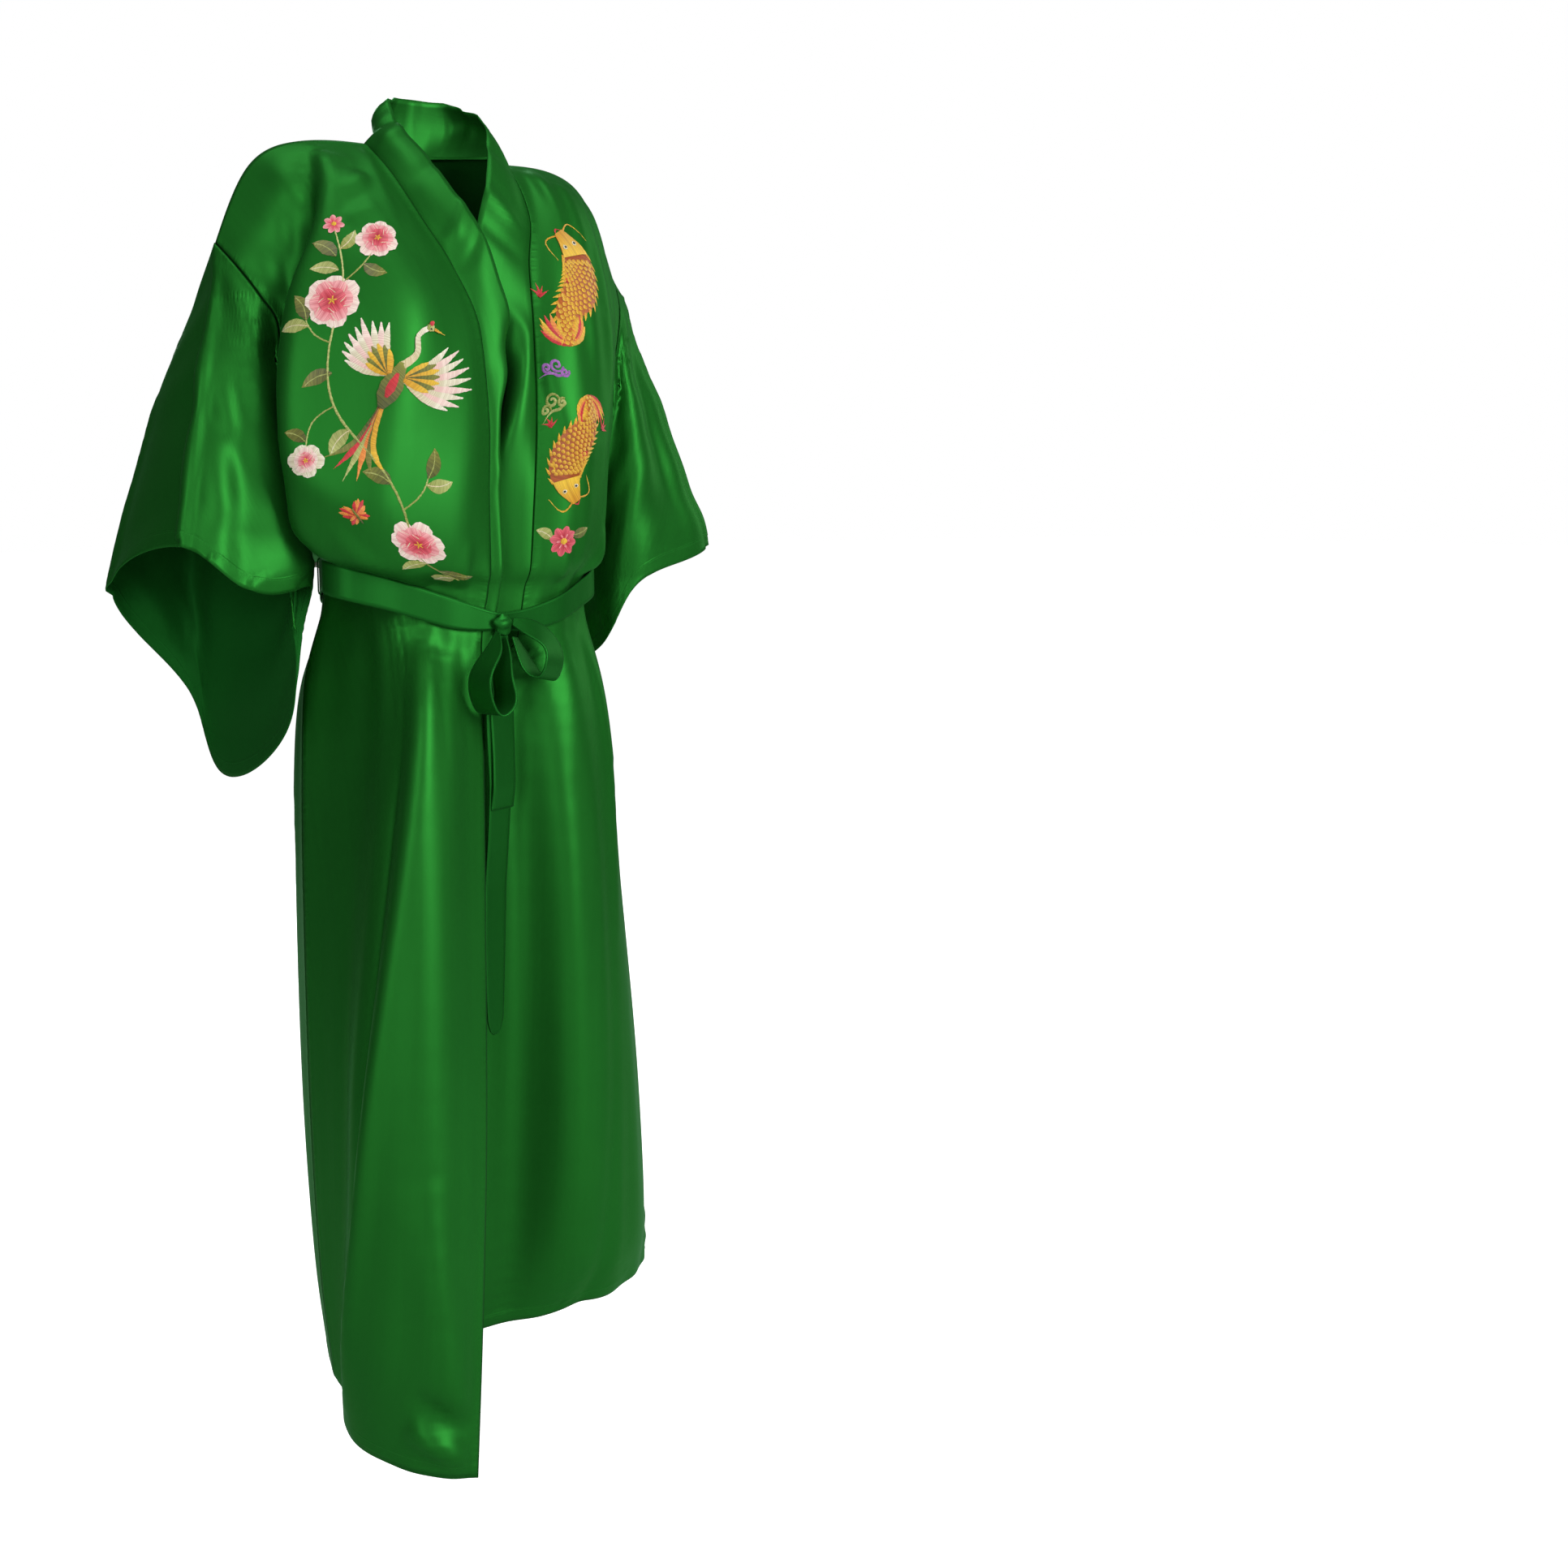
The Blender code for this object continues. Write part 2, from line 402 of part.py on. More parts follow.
def armhole(side, turns):
    """Closed line the sleeve is sewn on: over the shoulder, down the back, under the arm, up the front."""
    rows = FRONT_RIGHT_ROWS if side < 0 else FRONT_LEFT_ROWS
    back = steps(back_line(side), np.arange(15), np.clip(turns / 0.5, 0, 1) * 5)
    front = side_line(rows, np.clip((1 - turns) / 0.5, 0, 1) * 5)
    return np.where((turns <= 0.5)[:, None], back, front)


def sleeve_turns(levels):
    """Places round the sleeve, one at every level of the panels it is sewn to."""
    half = 0.1 * levels[levels <= 5.0]
    half = np.sort(np.concatenate([half, 0.5 * (half[1:] + half[:-1])]))
    return np.concatenate([half, 1 - half[-2:0:-1]])


def sleeve_sheet(side, turns, long_steps):
    rows = CUFF_RIGHT_ROWS if side < 0 else CUFF_LEFT_ROWS
    table = np.array(list(rows.values()))
    cuff = bending(table[:, 1:], table[:, 0], turns, closed=True)
    start = armhole(side, turns)
    shares = np.linspace(0, 1, long_steps + 1)[:, None, None]
    belly = np.sin(np.pi * shares ** 0.8)
    grid = start + (cuff[:, :3] - start) * shares + cuff[:, 3:] * belly
    clear = ARM_CLEARANCE + UNDERARM_CLEARANCE * np.exp(-((turns - 0.5) / 0.16) ** 2)
    grid[:, :, 0] += side * clear * (1 - shares[:, :, 0]) ** 2
    return grid


def band_lines(count):
    """Seam, fold and free edge of the collar band from the right end round the neck to the left end."""
    right, left, nape = (np.array(list(rows.values())) for rows in (BAND_RIGHT_ROWS, BAND_LEFT_ROWS, NAPE_ROWS))
    back_top = back_guides()[0]
    stations = np.concatenate([np.arange(len(right)), len(right) + np.arange(3),
                               len(right) + 3 + np.arange(len(left))])
    wanted = np.linspace(0, stations[-1], 40 * len(stations) + 1)
    table = np.concatenate([right, nape, left])
    body = steps(table[:, 1:], stations, wanted)
    level = steps(table[:, :1], stations, wanted)[:, 0]
    seam = np.zeros((len(wanted), 3))
    for place, at in enumerate(wanted):
        if at <= len(right) - 1:
            spot = np.interp(at, np.arange(len(right)), right[:, 0])
            seam[place] = edge_line(FRONT_RIGHT_ROWS, [spot])[0]
        elif at >= len(right) + 3:
            spot = np.interp(at - len(right) - 3, np.arange(len(left)), left[:, 0])
            seam[place] = edge_line(FRONT_LEFT_ROWS, [spot])[0]
        else:
            turn = (at - len(right) + 1) / 4
            share = 0.5 - 0.5 * NECK_SHARE + NECK_SHARE * turn
            seam[place] = bending(back_top, BACK_PLACES, [share])[0]
    grid = np.stack([seam, body[:, :3], body[:, 3:]], axis=1)
    lengths = np.linalg.norm(np.diff(grid[:, 0] + grid[:, 2], axis=0), axis=1)
    reach = np.concatenate([[0], np.cumsum(lengths)])
    evened = np.interp(np.linspace(0, reach[-1], count + 1), reach, np.arange(len(wanted)))
    low = evened.astype(int).clip(0, len(wanted) - 2)
    part = (evened - low)[:, None, None]
    return grid[low] * (1 - part) + grid[low + 1] * part


def band_sheet(across_steps, long_steps):
    lines = band_lines(long_steps)
    shares = np.linspace(0, 1, across_steps + 1)
    result = []
    for line in lines:
        width = np.linalg.norm(line[2] - line[0]) + 1e-9
        start = line[0] + (line[1] - line[0]) / np.linalg.norm(line[1] - line[0]) * SEAM_GAP
        result.append(bending(np.array([start, line[1], line[2]]), [0, 0.5, 1], shares))
    return np.array(result)


def sampled(grid, parts=8):
    """The grid's points with more between them along straight lines."""
    for axis in (0, 1):
        lines = np.moveaxis(grid, axis, 0)
        shares = (np.arange(parts) / parts).reshape((1, parts) + (1,) * (lines.ndim - 1))
        between = (lines[:-1, None] * (1 - shares) + lines[1:, None] * shares).reshape((-1,) + lines.shape[1:])
        grid = np.moveaxis(np.concatenate([between, lines[-1:]]), 0, axis)
    return grid.reshape(-1, 3)


def laid_on(grid, under, gap):
    """Moves the rows of a hanging ribbon forward until each clears what lies behind it."""
    shifts = np.zeros(len(grid))
    for row, points in enumerate(grid):
        for point in points:
            near = under[np.hypot(under[:, 0] - point[0], under[:, 2] - point[2]) < 0.005]
            if len(near):
                shifts[row] = min(shifts[row], near[:, 1].min() - gap - point[1])
    shifts = np.minimum(shifts, 0.5 * (np.append(shifts[1:], shifts[-1]) + np.append(shifts[0], shifts[:-1])))
    return grid + shifts[:, None, None] * np.array([0.0, 1.0, 0.0])


def belt_middle(count, cloth):
    """Middle line of the belt, drawn tight round the cloth it lies on."""
    centre = np.array(BELT_CENTRE)
    table = np.array(BELT_ROWS)
    offsets = cloth[:, :2] - centre
    places = np.mod(np.arctan2(-offsets[:, 0], -offsets[:, 1]) / (2 * np.pi), 1.0)
    heights = bending(table[:, 1], table[:, 0], places, closed=True)
    under = abs(cloth[:, 2] - heights) < 0.5 * BELT_WIDTH + 0.004
    fine = np.linspace(0, 1, 720, endpoint=False)
    ways = np.stack([-np.sin(2 * np.pi * fine), -np.cos(2 * np.pi * fine)], axis=1)
    support = (offsets[under] @ ways.T).max(axis=0) + 0.5 * (CLOTH + BELT_CLOTH) + BELT_CLEARANCE
    turns = np.linspace(0, 1, count, endpoint=False)
    facing = np.stack([-np.sin(2 * np.pi * turns), -np.cos(2 * np.pi * turns)], axis=1)
    slant = facing @ ways.T
    hull = np.where(ways @ ways.T > 0.3, support / np.maximum(ways @ ways.T, 0.3), 9.0).min(axis=1)
    reach = np.where(slant > 0.3, support / np.maximum(slant, 0.3), 9.0).min(axis=1)
    for _ in range(6):
        line = centre + facing * reach[:, None]
        cell = (fine * count).astype(int)
        start, end = line[cell], line[(cell + 1) % count]
        normal = np.stack([end[:, 1] - start[:, 1], start[:, 0] - end[:, 0]], axis=1)
        chord = ((start - centre) * normal).sum(axis=1) / (ways * normal).sum(axis=1)
        short = np.clip(hull - chord, 0, None).reshape(count, -1).max(axis=1)
        reach += np.maximum(short, np.roll(short, 1))
    line = centre + facing * reach[:, None]
    return np.column_stack([line, bending(table[:, 1], table[:, 0], turns, closed=True)])


def ribbon(rows, long_steps, knot_at, across_steps=2):
    """Ribbon of the belt along its middle line."""
    table = np.array(list(rows.values()))
    table[:, :3] += knot_at
    reach = np.concatenate([[0], np.cumsum(np.linalg.norm(np.diff(table[:, :3], axis=0), axis=1))])
    line = bending(table, reach, np.linspace(0, reach[-1], long_steps + 1))
    across = line[:, 3:6] / np.linalg.norm(line[:, 3:6], axis=1, keepdims=True)
    shares = np.linspace(-0.5, 0.5, across_steps + 1)
    return line[:, None, :3] + across[:, None] * (shares[None, :] * line[:, 6:7])[:, :, None]


def belt_sheet(middle, across_steps=2):
    """Band of the belt, its width upright and narrowed at the knot."""
    turns = np.linspace(0, 1, len(middle), endpoint=False)
    table = np.array(BELT_ROWS + ((1.0,) + BELT_ROWS[0][1:],))
    half = 0.5 * steps(table[:, 2], table[:, 0], turns)
    shares = np.linspace(-1, 1, across_steps + 1)
    rise = np.array([0.0, 0.0, 1.0])
    return middle[None] + shares[:, None, None] * half[None, :, None] * rise


def colour(name):
    slot = bpy.data.materials.get(name) or bpy.data.materials.new(name)
    slot.use_nodes = True
    shader = slot.node_tree.nodes["Principled BSDF"]
    shader.inputs["Base Color"].default_value = GREEN
    shader.inputs["Roughness"].default_value = 0.35
    return slot


group = bpy.data.collections.new("long_kimono_robe")
bpy.context.scene.collection.children.link(group)


def cloth_piece(name, grid, closed=False, wall=CLOTH, slot="satin", flip=False):
    """One piece of cloth from its grid of points, given its wall."""
    rows, columns = grid.shape[:2]
    points = [tuple(point) for point in grid.reshape(-1, 3)]
    faces = []
    for row in range(rows - 1):
        for column in range(columns if closed else columns - 1):
            following = (column + 1) % columns
            face = (row * columns + column, row * columns + following,
                    (row + 1) * columns + following, (row + 1) * columns + column)
            faces.append(face[::-1] if flip else face)
    mesh = bpy.data.meshes.new(name)
    mesh.from_pydata(points, [], faces)
    mesh.validate()
    piece = bpy.data.objects.new(name, mesh)
    group.objects.link(piece)
    mesh.materials.append(colour(slot))
    shell = piece.modifiers.new("cloth wall", "SOLIDIFY")
    shell.thickness = wall
    shell.offset = 0.0
    shell.use_even_offset = True
    return piece


def trimmed(grid, amount, first=True, last=True, axis=1):
    """Draws the outer lines of the grid in by the seam gap."""
    result = np.moveaxis(grid, axis, 0).copy()
    if first:
        step = result[1] - result[0]
        result[0] += step / np.linalg.norm(step, axis=-1, keepdims=True) * amount
    if last:
        step = result[-2] - result[-1]
        result[-1] += step / np.linalg.norm(step, axis=-1, keepdims=True) * amount
    return np.moveaxis(result, 0, axis)


levels = level_places(LENGTH_STEPS)
shares = np.linspace(0, 1, FRONT_STEPS + 1)
back = back_sheet(levels, back_shares(shares, NECK_STEPS))
back = trimmed(trimmed(back, SIDE_GAP), SEAM_GAP, last=False, axis=0)
cloth_piece("back", back)
front_right = front_sheet(FRONT_RIGHT_ROWS, FRONT_RIGHT_FOLDS, levels, shares)
front_right = trimmed(trimmed(front_right, SIDE_GAP), SEAM_GAP, last=False, axis=0)
cloth_piece("front_right", front_right)
front_left = front_sheet(FRONT_LEFT_ROWS, FRONT_LEFT_FOLDS, levels, shares)
front_left = trimmed(trimmed(front_left, SIDE_GAP), SEAM_GAP, last=False, axis=0)
cloth_piece("front_left", front_left, flip=True)
for side, name in ((-1, "sleeve_right"), (1, "sleeve_left")):
    sleeve = sleeve_sheet(side, sleeve_turns(levels), SLEEVE_STEPS)
    cloth_piece(name, trimmed(sleeve, SEAM_GAP, last=False, axis=0), closed=True, flip=side > 0)
band = band_sheet(*BAND_STEPS)
cloth_piece("collar_band", band)
cloth = np.concatenate([sampled(grid) for grid in (back, front_right, front_left, band)])
belt = belt_middle(BELT_STEPS, cloth)
knot_at = belt[0] - np.array([0.0, 0.5 * BELT_CLOTH + 0.93 * KNOT_SIZE[1] + TOUCH, KNOT_DROP])
cloth_piece("belt_band", belt_sheet(belt), closed=True, wall=BELT_CLOTH, slot="belt satin")
for name, rows in (("belt_bow_right", BOW_RIGHT_ROWS), ("belt_bow_left", BOW_LEFT_ROWS)):
    cloth_piece(name, ribbon(rows, LOOP_STEPS, knot_at), wall=BELT_CLOTH, slot="belt satin")
under = np.concatenate([cloth, sampled(belt_sheet(belt))])
for name, rows, count in (("belt_tail_long", TAIL_LONG_ROWS, 2 * TAIL_STEPS),
                          ("belt_tail_short", TAIL_SHORT_ROWS, TAIL_STEPS)):
    tail = laid_on(ribbon(rows, count, knot_at), under, BELT_CLOTH + TOUCH)
    under = np.concatenate([under, sampled(tail)])
    cloth_piece(name, tail, wall=BELT_CLOTH, slot="belt satin")


def knot_piece(name, rings=9, around=16):
    """Tight knot of the belt: a rounded lump with wrapped grooves."""
    points = [(0.0, 0.0, 1.0)]
    for ring in range(1, rings):
        slope = np.pi * ring / rings
        for place in range(around):
            turn = 2 * np.pi * place / around
            wrap = 1.0 - 0.10 * np.cos(3 * slope + turn) ** 4
            out = wrap * np.sin(slope)
            points.append((out * np.cos(turn), out * np.sin(turn), wrap * np.cos(slope)))
    points.append((0.0, 0.0, -1.0))
    scaled = np.array(points) * np.array(KNOT_SIZE) + knot_at
    faces = [(0, 1 + place, 1 + (place + 1) % around) for place in range(around)]
    for ring in range(rings - 2):
        for place in range(around):
            here = 1 + ring * around + place
            beside = 1 + ring * around + (place + 1) % around
            faces.append((here, here + around, beside + around, beside))
    last = len(points) - 1
    low = 1 + (rings - 2) * around
    faces += [(last, low + (place + 1) % around, low + place) for place in range(around)]
    mesh = bpy.data.meshes.new(name)
    mesh.from_pydata([tuple(point) for point in scaled], [], faces)
    piece = bpy.data.objects.new(name, mesh)
    group.objects.link(piece)
    mesh.materials.append(colour("belt satin"))


def thread_loop(name, side):
    """Thread loop at the side seam that holds the belt."""
    curve = bpy.data.curves.new(name, "CURVE")
    curve.dimensions = "3D"
    curve.bevel_depth = THREAD_LOOP_RADIUS
    curve.bevel_resolution = 1
    curve.use_fill_caps = True
    curve.resolution_u = 3
    spline = curve.splines.new("POLY")
    end = THREAD_LOOP_ENDS[name]
    first, last = THREAD_LOOP_PATH[0][1] + 0.0002, THREAD_LOOP_PATH[-1][1] - 0.0002
    path = ((end, first),) + THREAD_LOOP_PATH + ((end, last),)
    spline.points.add(len(path) - 1)
    ring = belt[int(round((0.262 if side < 0 else 0.738) * BELT_STEPS))]
    for point, (out, rise) in zip(spline.points, path):
        point.co = (ring[0] + side * out, ring[1], ring[2] + rise, 1.0)
    piece = bpy.data.objects.new(name, curve)
    group.objects.link(piece)
    curve.materials.append(colour("belt satin"))


knot_piece("belt_knot")
thread_loop("belt_loop_right", -1)
thread_loop("belt_loop_left", 1)
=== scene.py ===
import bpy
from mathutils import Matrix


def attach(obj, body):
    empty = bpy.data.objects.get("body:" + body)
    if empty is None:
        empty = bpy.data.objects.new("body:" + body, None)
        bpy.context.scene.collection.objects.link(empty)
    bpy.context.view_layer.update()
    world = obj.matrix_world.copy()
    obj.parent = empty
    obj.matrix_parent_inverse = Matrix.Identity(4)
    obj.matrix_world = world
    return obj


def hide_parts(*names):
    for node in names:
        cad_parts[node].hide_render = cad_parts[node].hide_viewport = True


bl_info = {
    "name": "Long Kimono Robe",
    "version": (1, 0, 0),
    "blender": (4, 5, 0),
    "location": "View3D > Sidebar > Kimono Robe",
    "description": "Builds the worn satin robe, its tied belt, its seams and its embroidery",
    "category": "Add Mesh",
}

import bpy
import numpy as np
from mathutils import Matrix, Vector

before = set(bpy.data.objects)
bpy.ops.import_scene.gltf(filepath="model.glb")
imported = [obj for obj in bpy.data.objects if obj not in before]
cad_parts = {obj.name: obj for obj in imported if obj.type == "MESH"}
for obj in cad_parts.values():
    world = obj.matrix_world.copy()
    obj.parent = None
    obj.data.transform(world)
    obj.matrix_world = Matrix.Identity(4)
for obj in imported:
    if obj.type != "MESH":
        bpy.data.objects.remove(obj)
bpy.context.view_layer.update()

# Long kimono robe worn on a general figure, held at the shoulders.
# Metres. +X is the wearer's left, the front faces -Y, +Z is up, the origin lies between the shoulders.
# These are the sizes of the solids: walls, gaps, clearances and how many steps each sheet is cut into.
CLOTH = 0.0015
SEAM_GAP = 0.0010
ARM_CLEARANCE = 0.0010
UNDERARM_CLEARANCE = 0.0020
BELT_WIDTH = 0.033
BELT_CLOTH = 0.0018
BELT_CENTRE = (-0.0065, -0.012)
BELT_CLEARANCE = 0.0001
TOUCH = 0.0003
KNOT_DROP = 0.003
KNOT_SIZE = (0.0105, 0.0055, 0.0110)
LENGTH_STEPS = 35
FRONT_STEPS = 10
NECK_STEPS = 7
BAND_STEPS = (3, 54)
BELT_STEPS = 48
UNDERARM_LEVEL = 5.0
NECK_SHARE = 0.34
SHOULDER_SHARE = 0.5 - 0.5 * NECK_SHARE
BACK_PLACES = (0.0, 1 / 6, SHOULDER_SHARE, 0.5, 1 - SHOULDER_SHARE, 5 / 6, 1.0)
# How finely the fine cloth is drawn: sleeve, band, belt, bow loops, tails and knot.
SLEEVE_PARTS = 6
BAND_FINE = (9, 300)
BELT_PARTS = 4
BELT_ACROSS = 8
LOOP_FINE = (90, 10)
TAIL_ACROSS = 8
KNOT_FINE = (49, 64)
SMOOTH_ROUNDS = 24
RIPPLES = 26
# How far a seam's steady line reaches into its sheet: share of a sleeve, levels of a panel, share across it.
ARMHOLE_HOLD = 0.05
SHOULDER_HOLD = 0.35
SEAM_HOLD = 0.04
# The belt's press into the cloth, the swell of the cloth beside it and how sharply that begins.
BELT_GRIP = 60
BELT_BITE = 0.0013
SWELL_SLOPE = 1.4
SWELL = 0.020
# The collar band's thickness over the cloth's, and its seam allowance along and into the panels.
BAND_EXTRA = 0.0004
TUCK_REACH = 0.004
TUCK_DEPTH = 0.0015
# Embroidery: length of a step along a stroke, rise of a layer, gap over the cloth.
STITCH_STEP = 0.0016
LAYER = 0.0004
STITCH_GAP = 0.00012
# The floor, the camera round the robe's axis in degrees, and the light of the room.
FLOOR_AT = -1.42
FLOOR_REACH = 40
CAMERA_AZIMUTH = -25.0
CAMERA_PAN = -9.5
CAMERA_PITCH = -8.1
CAMERA_DISTANCE = 2.2
CAMERA_HEIGHT = -0.35
CAMERA_LENS = 46.03
CAMERA_SENSOR = 36.0
ROOM_LIGHT = 0.11
FLOOR_GLOW = 0.95
LIGHTS_AIM = (0, 0, -0.65)
# A row per soft light: place, width and height of its face, strength.
LIGHTS = {
    "key": (0.9, -3.2, 0.8, 1.2, 2.8, 104.0),
    "fill": (-2.4, -2.6, 0.4, 1.0, 2.4, 36.0),
    "side": (3.0, 0.6, 0.5, 1.0, 2.2, 12.0),
    "back": (0.9, 3.2, 0.9, 1.3, 2.4, 70.0),
    "top": (0.0, -0.2, 3.0, 1.8, 1.8, 30.0),
}


def table(columns, text):
    """Named rows of sizes: millimetres in the text and metres when read, but for columns with a star."""
    scale = [1 if name.endswith("*") else 1000 for name in columns.split()]
    rows = {}
    for line in text.strip().splitlines():
        label, sizes = line.split(":")
        rows[label] = dict(zip(columns.replace("*", "").split(), np.array(sizes.split(), float) / scale))
    return rows


def numbers(rows):
    """A table as an array."""
    return np.array([list(row.values()) for row in rows.values()])


# Names of the columns of each table. Those with a star hold plain numbers, the others millimetres.
# fall is how much higher or lower a front's side lies than its edge, and bend how late that happens.
FRONT_COLUMNS = "z fall bend* edge_x edge_y breast_x breast_y crest_x crest_y valley_x valley_y side_x side_y"
BACK_COLUMNS = "z bend* centre_y neck_x neck_y blade_x blade_y"
# Folds and creases: where one starts and ends across and down the sheet, its sizes, and how it leans.
FOLD_COLUMNS = "top_at* low_at* width height lean top_level* low_level*"
CREASE_COLUMNS = "across* level* across_end* level_end* bow* width height lean*"
BAND_CREASE_COLUMNS = "along* slant width height"
# The collar band: level on the front it is sewn to, its fold and its free edge. At the nape no level is used.
BAND_COLUMNS = "level* fold_x fold_y fold_z edge_x edge_y edge_z"
# A sleeve's cuff: place round it, the point, and how far the cloth bellies there.
CUFF_COLUMNS = "turn* x y z belly_x belly_y belly_z"
# A ribbon of the belt, from the knot's middle: its middle line, the way its width lies, its width.
RIBBON_COLUMNS = "x y z across_x* across_y* across_z* width"
# The belt: place round the waist from the knot towards the wearer's right, height of its middle, its width.
BELT_COLUMNS = "turn* height width"

# The fronts and the back, a row per level from the shoulder line to the hem.
FRONT_RIGHT_ROWS = table(FRONT_COLUMNS, """
shoulder: 10 -110 4 -77 3 -115 1 -160 0 -205 0 -240 0
yoke: -20 -105 3 -68 -34 -110 -44 -153 -48 -186 -36 -226 -22
collarbone: -68 -85 2 -54 -73 -102 -88 -168 -78 -178 -46 -209 -36
chest: -120 -55 2 -33 -103 -95 -118 -187 -94 -180 -56 -194 -38
bust: -185 -45 2 -16 -127 -92 -142 -207 -106 -180 -62 -186 -30
underarm: -270 -60 2 -14 -138 -95 -150 -224 -106 -176 -64 -170 0
blouse: -350 -25 1.5 -18 -143 -98 -156 -220 -102 -164 -68 -150 2
overhang: -420 22 1.5 -18 -143 -88 -148 -160 -100 -156 -55 -145 2
tuck: -442 34 1.5 -18 -136 -66 -128 -112 -105 -136 -62 -139 2
waist: -490 38 1.5 -24 -132 -66 -128 -102 -110 -122 -74 -140 0
hip: -570 20 1.5 -31 -146 -85 -163 -122 -150 -128 -100 -168 -8
thigh: -750 10 1.5 -44 -168 -106 -192 -160 -163 -152 -108 -177 -12
knee: -1000 15 1.2 -64 -200 -132 -216 -199 -168 -174 -108 -180 -18
calf: -1200 35 1 -84 -222 -150 -224 -205 -150 -178 -92 -177 -24
hem: -1338 52 1 -97 -232 -160 -206 -192 -128 -173 -74 -168 -30
""")
FRONT_LEFT_ROWS = table(FRONT_COLUMNS, """
shoulder: 3 -123 4 77 3 112 1 146 0 180 0 213 0
yoke: -16 -126 3 73 -32 109 -40 143 -42 175 -36 204 -22
collarbone: -60 -104 2 70 -70 108 -80 145 -75 173 -57 196 -34
chest: -115 -80 2 56 -94 103 -108 144 -98 171 -72 186 -42
bust: -185 -60 2 50 -114 98 -132 140 -112 165 -74 178 -36
underarm: -270 -60 2 44 -128 94 -146 136 -114 158 -68 168 0
blouse: -350 -25 1.5 37 -133 90 -150 134 -110 152 -62 150 2
overhang: -420 22 1.5 32 -132 86 -142 132 -98 148 -54 145 2
tuck: -442 34 1.5 29 -123 70 -121 108 -98 132 -58 139 2
waist: -490 38 1.5 22 -120 64 -121 106 -96 132 -56 140 0
hip: -570 20 1.5 -36 -120 58 -134 112 -118 151 -70 165 0
thigh: -750 10 1.5 -42 -122 62 -142 120 -136 166 -78 190 4
knee: -1000 10 1.2 -50 -106 66 -132 128 -140 186 -80 218 4
calf: -1180 10 1 -56 -86 64 -110 128 -126 194 -74 232 4
hem: -1258 16 1 -60 -62 56 -80 118 -94 192 -52 240 4
""")
BACK_ROWS = table(BACK_COLUMNS, """
shoulder: 12 4 60 77 3 152 2
yoke: -20 3 80 78 50 152 48
collarbone: -75 2.5 98 78 90 154 84
chest: -130 2 108 80 110 156 106
bust: -200 2 114 82 122 158 112
underarm: -290 2 118 80 128 150 96
blouse: -375 1.5 128 78 140 138 98
overhang: -430 1.5 138 74 144 130 90
tuck: -448 1.5 102 58 98 106 74
waist: -496 1.5 102 58 98 106 74
hip: -570 1.5 118 66 120 128 90
thigh: -750 1.5 122 72 128 146 94
knee: -1000 1.2 118 80 126 164 86
calf: -1190 1 108 82 114 168 76
hem: -1275 1 98 80 102 166 66
""")
# Armhole seam on the back, from the shoulder line down to just over the underarm.
BACK_ARMHOLE_ROWS = table("x y z", """
shoulder: 240 0 -100
yoke: 240 34 -128
collarbone: 234 70 -168
chest: 226 90 -216
bust: 206 74 -278
""")
BACK_FOLDS = table(FOLD_COLUMNS, """
centre swell: 0.52 0.46 60 10 0 9.4 15
left swell: 0.74 0.8 50 12 4 9.4 15
right swell: 0.27 0.24 50 12 -4 9.4 15
blouse left: 0.66 0.6 50 10 0 4.5 7.9
blouse right: 0.36 0.4 50 11 0 4.8 7.9
blouse centre: 0.5 0.52 35 8 0 5.4 7.9
""")
FRONT_RIGHT_FOLDS = table(FOLD_COLUMNS, """
belt drape: 0.55 0.2 70 12 0 4.6 7.9
breast drape: 0.24 0.34 60 7 0 2.4 7.6
""")
FRONT_LEFT_FOLDS = table(FOLD_COLUMNS, """
belt drape: 0.62 0.3 70 12 0 4.2 7.9
skirt swell: 0.42 0.44 70 14 0 9.4 15
""")
BAND_RIGHT_ROWS = table(BAND_COLUMNS, """
end: 9.55 -18 -137.5 -530 -17 -130 -530
under belt: 8.6 -10 -134.5 -470 -10 -124 -470
tuck: 8 -6 -137 -442 -7 -125 -440
overhang: 7 -6 -146 -416 -7 -128 -412
blouse: 6 -6 -143 -348 -6 -122 -344
underarm: 5 -2 -139 -268 -1 -114 -262
turn: 4.5 8 -135 -220 10 -115 -212
crossing: 4 4 -128.5 -176 18 -124 -168
below point: 3.55 -6 -120 -140 10 -117.5 -128
point: 3 -14 -108.5 -104 0 -105 -84
throat: 2 -36 -80 -56 -18 -75 -40
neck front: 1 -48 -44 -12 -28 -40 -4
neck side: 0 -62 -2 26 -43 0 34
""")
NAPE_ROWS = table(BAND_COLUMNS, """
right: -0.6 -50 40 44 -36 36 64
nape: 0 0 60 42 0 55 70
left: 0.6 52 40 44 40 36 64
""")
BAND_LEFT_ROWS = table(BAND_COLUMNS, """
neck side: 0 66 -2 26 53 0 44
neck front: 1 60 -40 -2 41 -35 16
throat: 2 46 -76 -44 21 -70 -26
point: 3 26 -96 -100 -1 -93.5 -86
below point: 3.55 26 -102 -142 -2 -97 -132
crossing: 4 38 -116 -184 14 -98 -182
turn: 4.5 32 -123 -224 22 -101 -224
underarm: 5 20 -130 -268 12 -108 -268
blouse: 6 -2 -120 -348 -18 -108 -348
overhang: 7 -10 -115 -416 -34 -106 -416
tuck: 8 -10 -112 -442 -36 -105 -442
under belt: 8.6 -10 -111 -472 -38 -105 -472
end: 9.55 -24 -116 -530 -40 -111 -530
""")
